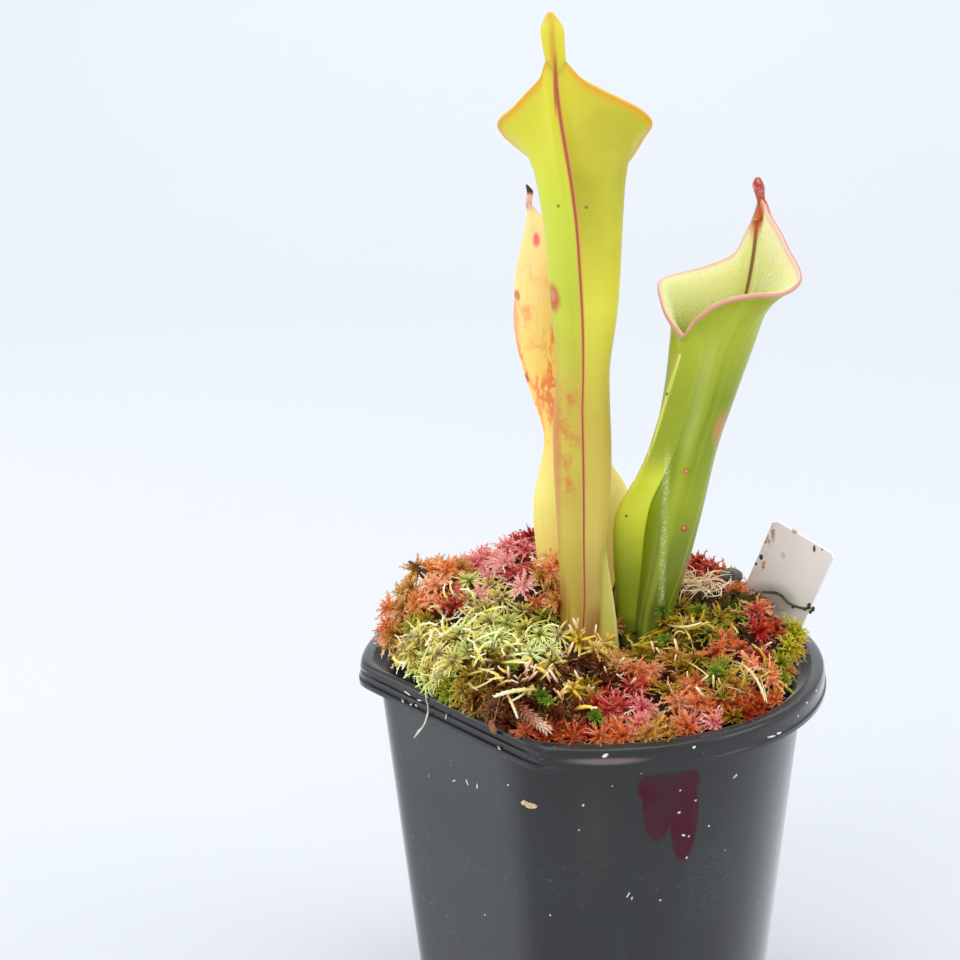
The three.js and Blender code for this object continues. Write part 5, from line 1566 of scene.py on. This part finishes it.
def grow_head(tuft, shape, kind, moss, x, y, lean, draw, size, lift):
    """One plant: a starry head of branches on its stalk, which may lean out of the pot."""
    up = ground_tilt(x, y).lerp(Vector((0, 0, 1)), 0.3) + Vector((x, y, 0)).normalized() * lean
    up = (up + Vector((draw.uniform(-0.35, 0.35), draw.uniform(-0.35, 0.35), 0))).normalized()
    spin = Matrix.Rotation(draw.uniform(0, any_turn), 3, "Z")
    facing = np.array(up.to_track_quat("Z", "Y").to_matrix() @ spin)
    root = np.array([x, y, mound_top(x, y) + lift])
    tint = draw.random()
    points, faces = shape
    reach = points[:, 0].clip(0, 1)
    length = moss.length * size
    near_rim = math.hypot(x, y) > moss_edge - 10
    for branch in range(moss.branches):
        part = (branch + 0.5) / moss.branches
        azimuth = branch * golden_turn + draw.uniform(-0.45, 0.45)
        elevation = math.radians(80 + (moss.spread - 80) * part ** 0.8 + draw.uniform(-16, 16))
        long = length * (0.42 + 0.58 * part ** 0.7) * draw.uniform(0.65, 1.22)
        turn = Matrix.Rotation(azimuth, 3, "Z") @ Matrix.Rotation(-elevation, 3, "Y")
        turn = turn @ Matrix.Rotation(draw.uniform(0, any_turn), 3, "X")
        placed = (points * [long, length, length]) @ np.array(turn).T
        swing = moss.curl * draw.uniform(-1, 1) * long * (reach ** 2 - 0.3 * reach)
        placed[:, 0] -= swing * math.sin(azimuth)
        placed[:, 1] += swing * math.cos(azimuth)
        placed[:, 2] -= moss.droop * draw.uniform(0.5, 1.4) * long * part * reach ** 2
        placed = placed @ facing.T + root
        if near_rim:
            placed = clear_of_rim(placed)
        tuft.add(placed, faces, kind, reach * (0.4 + 0.6 * part), tint + draw.uniform(-0.25, 0.25))
    stalk = points * [stalk_length, length * 1.3, length * 1.3]
    stalk = stalk @ np.array(Matrix.Rotation(math.pi / 2, 3, "Y")).T @ facing.T + root
    tuft.add(stalk, faces, kind, np.zeros(len(points)), 0.2)


def lay_branch(tuft, shape, kind, path, tint):
    """A branch laid along a bent path of three places, each x, y and its height over the mound."""
    start, bend, end = (np.array([x, y, mound_top(x, y) + lift]) for x, y, lift in path)
    points, faces = shape
    t = points[:, :1].clip(0, 1)
    middle = (1 - t) ** 2 * start + 2 * t * (1 - t) * bend + t ** 2 * end
    along = unit((1 - t) * (bend - start) + t * (end - bend))
    across = unit(np.cross(along, [0.1, 0.2, 1]))
    upward = np.cross(across, along)
    length = np.linalg.norm(bend - start) + np.linalg.norm(end - bend)
    offset = (points[:, :1] - t) * along + points[:, 1:2] * across + points[:, 2:3] * upward
    tuft.add(clear_of_rim(middle + length * offset), faces, kind, points[:, 0].clip(0, 1), tint)


twig = twig_shape()
bud = bud_shape()
leaflet = leaflet_shape()
kind_names = list(moss_kinds)
kind_materials = {}
kind_shapes = {}
for number, (name, moss) in enumerate(moss_kinds.items()):
    stem = twig if moss.branches else bud
    kind_shapes[number] = leafy_branch(stem, leaflet, moss.thickness, moss.leaflets, moss.leaflet, moss.lift)
    kind_materials[number] = moss_finish(name, *moss[-4:])
tufts = {bed: Tuft() for bed in moss_beds}


def tuft_at(x, y):
    return tufts[min(moss_beds, key=lambda name: math.hypot(x - moss_beds[name][0], y - moss_beds[name][1]))]


draw = random.Random(23)
planted = []
for across, down, name in seen_heads:
    x, y, height = under_pixel(across, down, head_rise)
    lift = min(max(height - head_rise, head_sinks), head_stands) + draw.uniform(-0.5, 0.5)
    lean = edge_lean * max(math.hypot(x, y) - 36, 0) / 10
    kind = kind_names.index(name)
    planted.append((x, y, kind))
    if not in_a_leaf(x, y):
        size = draw.uniform(0.85, 1.12)
        grow_head(tuft_at(x, y), kind_shapes[kind], kind, moss_kinds[name], x, y, lean, draw, size, lift)
for x, y, lean, lift, apart in filling_places():
    near_x, near_y, _ = nearest(x, y, planted)
    if in_a_leaf(x, y) or in_bare_edge(x, y) or math.hypot(x - near_x, y - near_y) < apart:
        continue
    if any(math.hypot(x - spot_x, y - spot_y) < clear for spot_x, spot_y, clear in kept_clear):
        continue
    kind = nearest(x + draw.uniform(-3, 3), y + draw.uniform(-3, 3), planted)[2]
    size = draw.uniform(0.8, 1.05)
    moss = moss_kinds[kind_names[kind]]
    grow_head(tuft_at(x, y), kind_shapes[kind], kind, moss, x, y, lean, draw, size, lift)
sprig = kind_names.index("sprig")
for across, down, size in green_sprigs:
    x, y, height = under_pixel(across, down, 4)
    grow_head(tuft_at(x, y), kind_shapes[sprig], sprig, moss_kinds["sprig"], x, y, 0, draw, size, height - 1)
stub = kind_names.index("stub")
for across, down, scatter, count in bud_clusters:
    middle_x, middle_y, _ = under_pixel(across, down, 3.5)
    for _ in range(count):
        x, y = middle_x + draw.gauss(0, scatter / 2), middle_y + draw.gauss(0, scatter / 2)
        if in_a_leaf(x, y) or math.hypot(x, y) > moss_edge - 1:
            continue
        heading = draw.uniform(0, any_turn)
        lean = draw.uniform(0.8, 2.2)
        end_x, end_y = x + lean * math.cos(heading), y + lean * math.sin(heading)
        bottom = draw.uniform(1.8, 3.2)
        path = [(x, y, bottom), ((x + end_x) / 2, (y + end_y) / 2, bottom + 1.2),
                (end_x, end_y, bottom + draw.uniform(1.4, 2.6))]
        lay_branch(tuft_at(x, y), kind_shapes[stub], stub, path, draw.random())
for across, down, scatter, count, name, length, lift in loose_branches:
    kind = kind_names.index(name)
    middle_x, middle_y, _ = under_pixel(across, down, lift)
    for _ in range(count):
        x, y = middle_x + draw.gauss(0, scatter / 2), middle_y + draw.gauss(0, scatter / 2)
        heading = draw.uniform(0, any_turn)
        long = length * draw.uniform(0.6, 1.2)
        bend = draw.uniform(-0.6, 0.6) * long
        end_x, end_y = x + long * math.cos(heading), y + long * math.sin(heading)
        bend_x = (x + end_x) / 2 - bend * math.sin(heading)
        bend_y = (y + end_y) / 2 + bend * math.cos(heading)
        if in_a_leaf(x, y) or in_a_leaf(end_x, end_y) or in_a_leaf(bend_x, bend_y):
            continue
        if max(math.hypot(x, y), math.hypot(end_x, end_y)) > moss_edge:
            continue
        path = [(x, y, lift - 1.2), (bend_x, bend_y, lift + draw.uniform(0, 2)),
                (end_x, end_y, lift + draw.uniform(-1, 1))]
        lay_branch(tuft_at(x, y), kind_shapes[kind], kind, path, draw.random())
for name, *path in laid_branches:
    kind = kind_names.index(name)
    path = [under_pixel(across, down, lift, 3) for across, down, lift in path]
    lay_branch(tuft_at(*path[0][:2]), kind_shapes[kind], kind, path, 0.6)
for bed, tuft in tufts.items():
    carpet = tuft.piece("moss_" + bed + "_plants", kind_materials)
    clothe(carpet, "root", bed + "_moss", "moss_" + bed)


# The stone and the twig: what has blown onto the moss. The stone is grey grit, half bedded,
# and the twig a dead stalk that lies across the heads at the left.

stone_place = (32.4, 13.4)
stone_sunk = 0.6
stone_size = (2.7, 2.3, 2)
stone_share = 0.93
twig_ends = ((-42, 12), (-36.6, 7))
twig_radius = 0.6
twig_tip_radius = 0.3
twig_lift = 1.6
twig_rises = (0.6, 0, -1.2)


def ragged(piece, strength, scale, seed):
    """Points moved along their normals by smooth noise, as a broken surface is."""
    draw = np.random.RandomState(seed)
    waves = draw.uniform(-1, 1, (7, 3)) * scale
    phases = draw.uniform(0, any_turn, 7)
    for vertex in piece.data.vertices:
        swell = sum(math.sin(float(np.dot(wave, vertex.co)) + phase) for wave, phase in zip(waves, phases))
        vertex.co += vertex.normal * strength * swell / 7


def stone_finish():
    finish = Finish("grey_grit")
    grain = finish.noise(900, 4, 0.7)
    body = finish.ramp(grain, [(0.3, "#4c4e42"), (0.55, "#7c7e6e"), (0.8, "#acac98")])
    green = finish.noise(260, 3).eased(0.5, 0.65)
    body = finish.mix(green * 0.7, body, "#47562a")
    finish.set(base_color=body, roughness=grain * 0.1 + 0.85, normal=finish.bump(grain, 1, 0.8))
    return finish.material


bpy.ops.object.select_all(action="DESELECT")
stone_middle = Vector((*stone_place, mound_top(*stone_place) + stone_size[2] - stone_sunk)) * MM
bpy.ops.mesh.primitive_ico_sphere_add(subdivisions=4, radius=MM, location=stone_middle)
grit_stone = bpy.context.active_object
grit_stone.name = "grit_stone"
bpy.ops.transform.resize(value=tuple(stone_share * size for size in stone_size))
bpy.ops.object.transform_apply(location=True, rotation=True, scale=True)
ragged(grit_stone, 1.1 * MM, 1100, 3)
bpy.ops.object.shade_smooth()
grit_stone.data.materials.append(stone_finish())
clothe(grit_stone, "root", "stone", "stone")


def strand_rings(points, radii, sides=8, steps=24):
    """Rings of a round strand through given points, read by a smooth cubic."""
    rows = [(index,) + tuple(point) + (radius,) for index, (point, radius) in enumerate(zip(points, radii))]
    places = np.array([read_rows(rows, key) for key in np.linspace(0, len(rows) - 1, steps)])
    middle, radius = places[:, 1:4], places[:, 4]
    along = unit(np.gradient(middle, axis=0))
    one = unit(np.cross(along, [0.31, 0.17, 0.93]))
    other = np.cross(along, one)
    turns = np.linspace(0, 2 * np.pi, sides, endpoint=False)
    ring = np.cos(turns)[None, :, None] * one[:, None] + np.sin(turns)[None, :, None] * other[:, None]
    return middle[:, None] + ring * radius[:, None, None]


def strand(name, points, radii, material, sides=8, steps=24):
    rings = closed_ends(strand_rings(points, radii, sides, steps))
    piece = sewn_skin(name, rings, np.linspace(0, 1, len(rings)), np.zeros(rings.shape[:2]), 999)
    piece.data.materials.append(material)
    return piece


def bark_finish(name, dark, light):
    finish = Finish(name)
    grain = finish.noise(800, 4, 0.6)
    body = finish.ramp(grain, [(0.35, dark), (0.7, light)])
    finish.set(base_color=body, roughness=grain * 0.2 + 0.6, normal=finish.bump(grain, 0.7, 0.2))
    return finish.material


twig_middle = [(one + other) / 2 for one, other in zip(*twig_ends)]
twig_height = mound_top(*twig_middle) + twig_lift
twig_spots = (twig_ends[0], twig_middle, twig_ends[1])
twig_path = [(*spot, twig_height + rise) for spot, rise in zip(twig_spots, twig_rises)]
dead_twig = strand("dead_twig", twig_path, [twig_tip_radius, 0.8 * twig_radius, twig_radius],
                   bark_finish("dead_bark", "#1e140e", "#4c3524"))
ragged(dead_twig, 0.12 * MM, 2500, 8)
clothe(dead_twig, "root", "twig", "twig")


# What has landed on the pot and the label: grit, crumbs of peat, a root hair that hangs over the
# rim, a dry bract on its stem, and a thin green stem that lies against the label's foot.

# Bits stuck to the pot: x, y, height, length, width, turn from level and kind.
pot_bits = [
    (-29.8, -27.1, 81.1, 1.3, 0.4, 30, 0), (-26.7, -30.7, 82.6, 1.5, 0.4, -60, 0),
    (-24.4, -33.3, 82.8, 1.3, 0.5, 70, 0), (-17.4, -41.6, 87, 0.6, 0.4, 0, 0),
    (-35.9, -20.2, 79.2, 1.4, 0.25, 80, 3), (-12.7, -44.8, 84, 3, 1.5, -12, 1),
    (-14.2, -44.4, 84.2, 1.4, 1, 30, 1), (-11.6, -45, 84.9, 0.9, 0.6, 20, 2),
    (-13.4, -44.6, 85.2, 0.6, 0.5, 0, 2), (4.3, -47.1, 89.5, 0.4, 0.3, 0, 0),
    (-1.7, -46.8, 85, 0.7, 0.45, 40, 0), (-2.6, -46.2, 79, 0.4, 0.35, 0, 0),
    (18.4, -43.1, 86.8, 0.5, 0.4, 0, 0), (18.4, -43.1, 81.5, 0.7, 0.5, 0, 0),
    (21.9, -41.6, 83.6, 0.5, 0.4, 0, 0), (19.4, -42, 75.8, 0.9, 0.5, -30, 0),
    (20.6, -41.4, 75.2, 0.5, 0.4, 0, 0), (20.2, -41, 70, 0.6, 0.4, 60, 0),
    (28.5, -35.2, 69, 0.5, 0.3, 80, 3), (30, -35.6, 86.6, 1.4, 0.5, 25, 0),
    (24.9, -39, 76.5, 0.5, 0.4, 0, 0), (7.7, -44, 62.9, 1.5, 0.3, 60, 0),
    (8.5, -43.8, 62, 0.9, 0.3, 70, 0), (14.5, -42, 60.7, 0.5, 0.4, 0, 0),
    (-23.5, -30.3, 50.4, 0.5, 0.3, 0, 0), (-8.8, -43.3, 57.6, 0.5, 0.3, 0, 0),
    (10.2, -46.1, 92.4, 0.9, 0.8, 0, 0), (-18.7, -43, 95.4, 3.2, 0.35, -35, 0),
    (-17.6, -44, 95, 1.8, 0.3, -20, 0), (-19.9, -41.7, 99.1, 1, 0.5, 30, 0),
    (-31, -29.3, 97.1, 1.6, 0.3, 70, 0), (37.6, -36.6, 96, 3, 0.5, -12, 0),
    (39.4, -34.7, 95.9, 2, 0.7, -16, 0), (48.7, -19.5, 99.2, 0.7, 0.4, 0, 0),
    (46.1, -25.1, 98.8, 0.6, 0.4, 0, 0), (43.9, -28.7, 97.3, 0.5, 0.4, 0, 0),
    (20.9, -48.1, 98.7, 0.8, 0.5, 20, 0), (2.8, -52.4, 98.7, 1.5, 0.7, 25, 0),
    (-41.3, -17.9, 95.7, 1.6, 0.4, -50, 0), (-39.4, -20, 96, 1, 0.4, 20, 0),
    (-38.2, -21.5, 96.4, 0.8, 0.3, -30, 0), (-40.3, -19.1, 98.3, 2.6, 0.3, -8, 0),
    (-37.4, -22.4, 98, 1.8, 0.3, 10, 0),
]
root_hair = [
    (-34.8, -23.2, 100.6), (-35.7, -24.4, 99.8), (-35.2, -25.1, 97),
    (-36.1, -24.6, 93.5), (-37.6, -23.3, 91), (-38.7, -22.6, 89.2),
]
root_hair_radii = [0.14, 0.15, 0.15, 0.17, 0.24, 0.1]
bract_stem = [(-18.6, -36.5, 106.4), (-19.4, -39.6, 104), (-20.1, -41.4, 101.2)]
bract_stem_radii = [0.16, 0.15, 0.2]
bit_thickness = 0.3
tan_thickness = 0.6
bract_middle = (-20.4, -42.6, 100.6)
bract_size = (1.15, 0.45, 1.8)
green_stem = [
    (39.2, 8.6, 111.9), (42.6, 6.6, 112.2), (45, 5.2, 110.4), (47.6, 3.7, 109.8), (49.8, 2.5, 110.2),
]
green_stem_radii = [0.25, 0.3, 0.3, 0.28, 0.2]
label_crumbs = [
    (49.2, 2.9, 110.7, 1.4), (50.1, 2.4, 110, 1.3), (48.4, 3.4, 109.6, 1.2), (49.6, 2.7, 109.2, 1.4),
    (45.8, 4.8, 109.6, 0.9),
]


def flake_shape():
    """A crumb, a unit long, with a broken surface."""
    bpy.ops.object.select_all(action="DESELECT")
    bpy.ops.mesh.primitive_ico_sphere_add(subdivisions=2, radius=0.5)
    flake = bpy.context.active_object
    ragged(flake, 0.35, 7, 4)
    return triangles_of(flake)


def grit_finish(name, dark, light):
    finish = Finish(name)
    grain = finish.noise(2200, 3)
    finish.set(base_color=finish.ramp(grain, [(0.35, dark), (0.65, light)]), roughness=grain * 0.3 + 0.5)
    return finish.material


flake = flake_shape()
bit_materials = {
    0: grit_finish("white_grit", "#c6c4bc", "#f2f0ea"),
    1: grit_finish("tan_crumb", "#b08a5c", "#f0dcae"),
    2: grit_finish("peat_crumb", "#1a120c", "#4a3220"),
    3: grit_finish("pale_scratch", "#6d8a90", "#9fc0c6"),
}
pot_dirt = Tuft()
for x, y, height, long, wide, turn, kind in pot_bits:
    angle = math.atan2(y, x)
    on_rim = height > skirt_bottom
    radius, chord = (rim_radius, flat_rim_chord) if on_rim else (wall_radius(height), wall_chord(height))
    reach = flattened(radius, chord, angle)
    facing = flat_direction if radius - reach > 1 else angle
    turned = Matrix.Rotation(facing, 3, "Z") @ Matrix.Rotation(math.radians(turn), 3, "X")
    points = flake[0] * [bit_thickness if kind != 1 else tan_thickness, long, wide]
    middle = [reach * math.cos(angle), reach * math.sin(angle), height]
    pot_dirt.add(points @ np.array(turned).T + middle, flake[1], kind, np.zeros(len(points)), 0.5)
for x, y, z, size in label_crumbs:
    turned = np.array(Matrix.Rotation(x + z, 3, (1, 0.4, 0.7)))
    points = (flake[0] * [size, size * 0.6, size * 0.5]) @ turned.T + [x, y, z]
    pot_dirt.add(points, flake[1], 2, np.zeros(len(points)), 0.5)
clothe(pot_dirt.piece("grit_and_crumbs", bit_materials), "root", "stone")

hair_strand = strand("root_hair", root_hair, root_hair_radii,
                     bark_finish("pale_root", "#d4d0b4", "#f8f6e8"), 8, 30)
ragged(hair_strand, 0.12 * MM, 2500, 3)
clothe(hair_strand, "root", "pale_moss")

bract_bark = bark_finish("dry_bract", "#7a4020", "#c07c4c")
stem_strand = strand("bract_stem", bract_stem, bract_stem_radii, bract_bark, 6, 14)
bpy.ops.object.select_all(action="DESELECT")
bpy.ops.mesh.primitive_ico_sphere_add(subdivisions=4, radius=MM,
                                      location=[value * MM for value in bract_middle],
                                      rotation=(0.25, 0.15, flat_direction + math.pi / 2))
dry_bract = bpy.context.active_object
dry_bract.name = "dry_bract"
dry_bract.scale = bract_size
bpy.ops.object.transform_apply(location=True, rotation=True, scale=True)
ragged(dry_bract, 0.5 * MM, 1400, 6)
bpy.ops.object.shade_smooth()
dry_bract.data.materials.append(bract_bark)
clothe(join_pieces([dry_bract, stem_strand]), "root", "twig")

stem_green = strand("green_stem", green_stem, green_stem_radii,
                    bark_finish("green_bark", "#2c3c18", "#5c7830"), 8, 30)
clothe(stem_green, "root", "green_moss")


# The light and the floor: a pale sweep under soft, even studio light.
# The camera stands a little above the rim, close to the pot, as the photographer did.

floor_reach = 2500
sweep_radius = 900
sweep_steps = 10


def paper_finish():
    finish = Finish("pale_paper", roughness=0.9)
    body = finish.mix(finish.noise(3, 2), "#dcdee1", "#d8dbde")
    finish.set(base_color=body)
    return finish.material


bpy.ops.object.select_all(action="DESELECT")
bpy.ops.mesh.primitive_plane_add(size=2 * floor_reach * MM,
                                 location=(0, (sweep_radius - floor_reach) * MM, 0))
floor = bpy.context.active_object
floor.name = "pale_floor"
bpy.ops.object.transform_apply(location=True, rotation=True, scale=True)
bpy.ops.object.mode_set(mode="EDIT")
bpy.ops.mesh.select_all(action="DESELECT")
bpy.ops.mesh.select_mode(type="VERT")
bpy.ops.object.mode_set(mode="OBJECT")
for vertex in floor.data.vertices:
    vertex.select = vertex.co.y > 0
bpy.ops.object.mode_set(mode="EDIT")
for step in range(sweep_steps):
    angle = (step + 0.5) * math.pi / 2 / sweep_steps
    length = 2 * sweep_radius * math.sin(math.pi / 4 / sweep_steps) * MM
    bpy.ops.mesh.extrude_region_move(
        TRANSFORM_OT_translate={"value": (0, length * math.cos(angle), length * math.sin(angle))})
bpy.ops.mesh.extrude_region_move(TRANSFORM_OT_translate={"value": (0, 0, floor_reach * MM)})
bpy.ops.object.mode_set(mode="OBJECT")
bpy.ops.object.shade_smooth()
floor.data.materials.append(paper_finish())
floor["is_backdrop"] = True

world = bpy.data.worlds.new("studio")
bpy.context.scene.world = world
world.use_nodes = True
world.node_tree.nodes["Background"].inputs["Color"].default_value = colour("#eef2f8")
world.node_tree.nodes["Background"].inputs["Strength"].default_value = 1.0


def soft_light(name, place, size, power, target=(0, 0, 0.13)):
    light = bpy.data.lights.new(name, "AREA")
    light.shape = "RECTANGLE"
    light.size, light.size_y = size
    light.energy = power
    lamp = bpy.data.objects.new(name, light)
    lamp.location = place
    lamp.rotation_euler = (Vector(target) - Vector(place)).to_track_quat("-Z", "Y").to_euler()
    bpy.context.scene.collection.objects.link(lamp)


soft_light("front_left", (-0.7, -0.9, 1.1), (0.7, 0.7), 4)
soft_light("right", (1.1, -0.3, 0.7), (0.6, 0.9), 3.5)
soft_light("left", (-1.1, 0.2, 0.6), (0.6, 0.9), 3)
soft_light("top", (0, 0.1, 1.3), (0.9, 0.9), 3.5)
soft_light("backdrop", (0, 1.35, 1.2), (1.6, 0.5), 4, (0, 1.7, 0.15))

camera = bpy.data.objects.new("camera", bpy.data.cameras.new("camera"))
camera.data.lens = camera_lens
camera.data.clip_start = 0.01
turn = Matrix((rolled_right, rolled_up, -forward)).transposed().to_4x4()
camera.matrix_world = Matrix.Translation(camera_place * MM) @ turn
bpy.context.scene.collection.objects.link(camera)
bpy.context.scene.camera = camera
bpy.context.scene.view_settings.view_transform = "Standard"

[[list(corner) for corner in box] for box in (cad_box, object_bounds())]
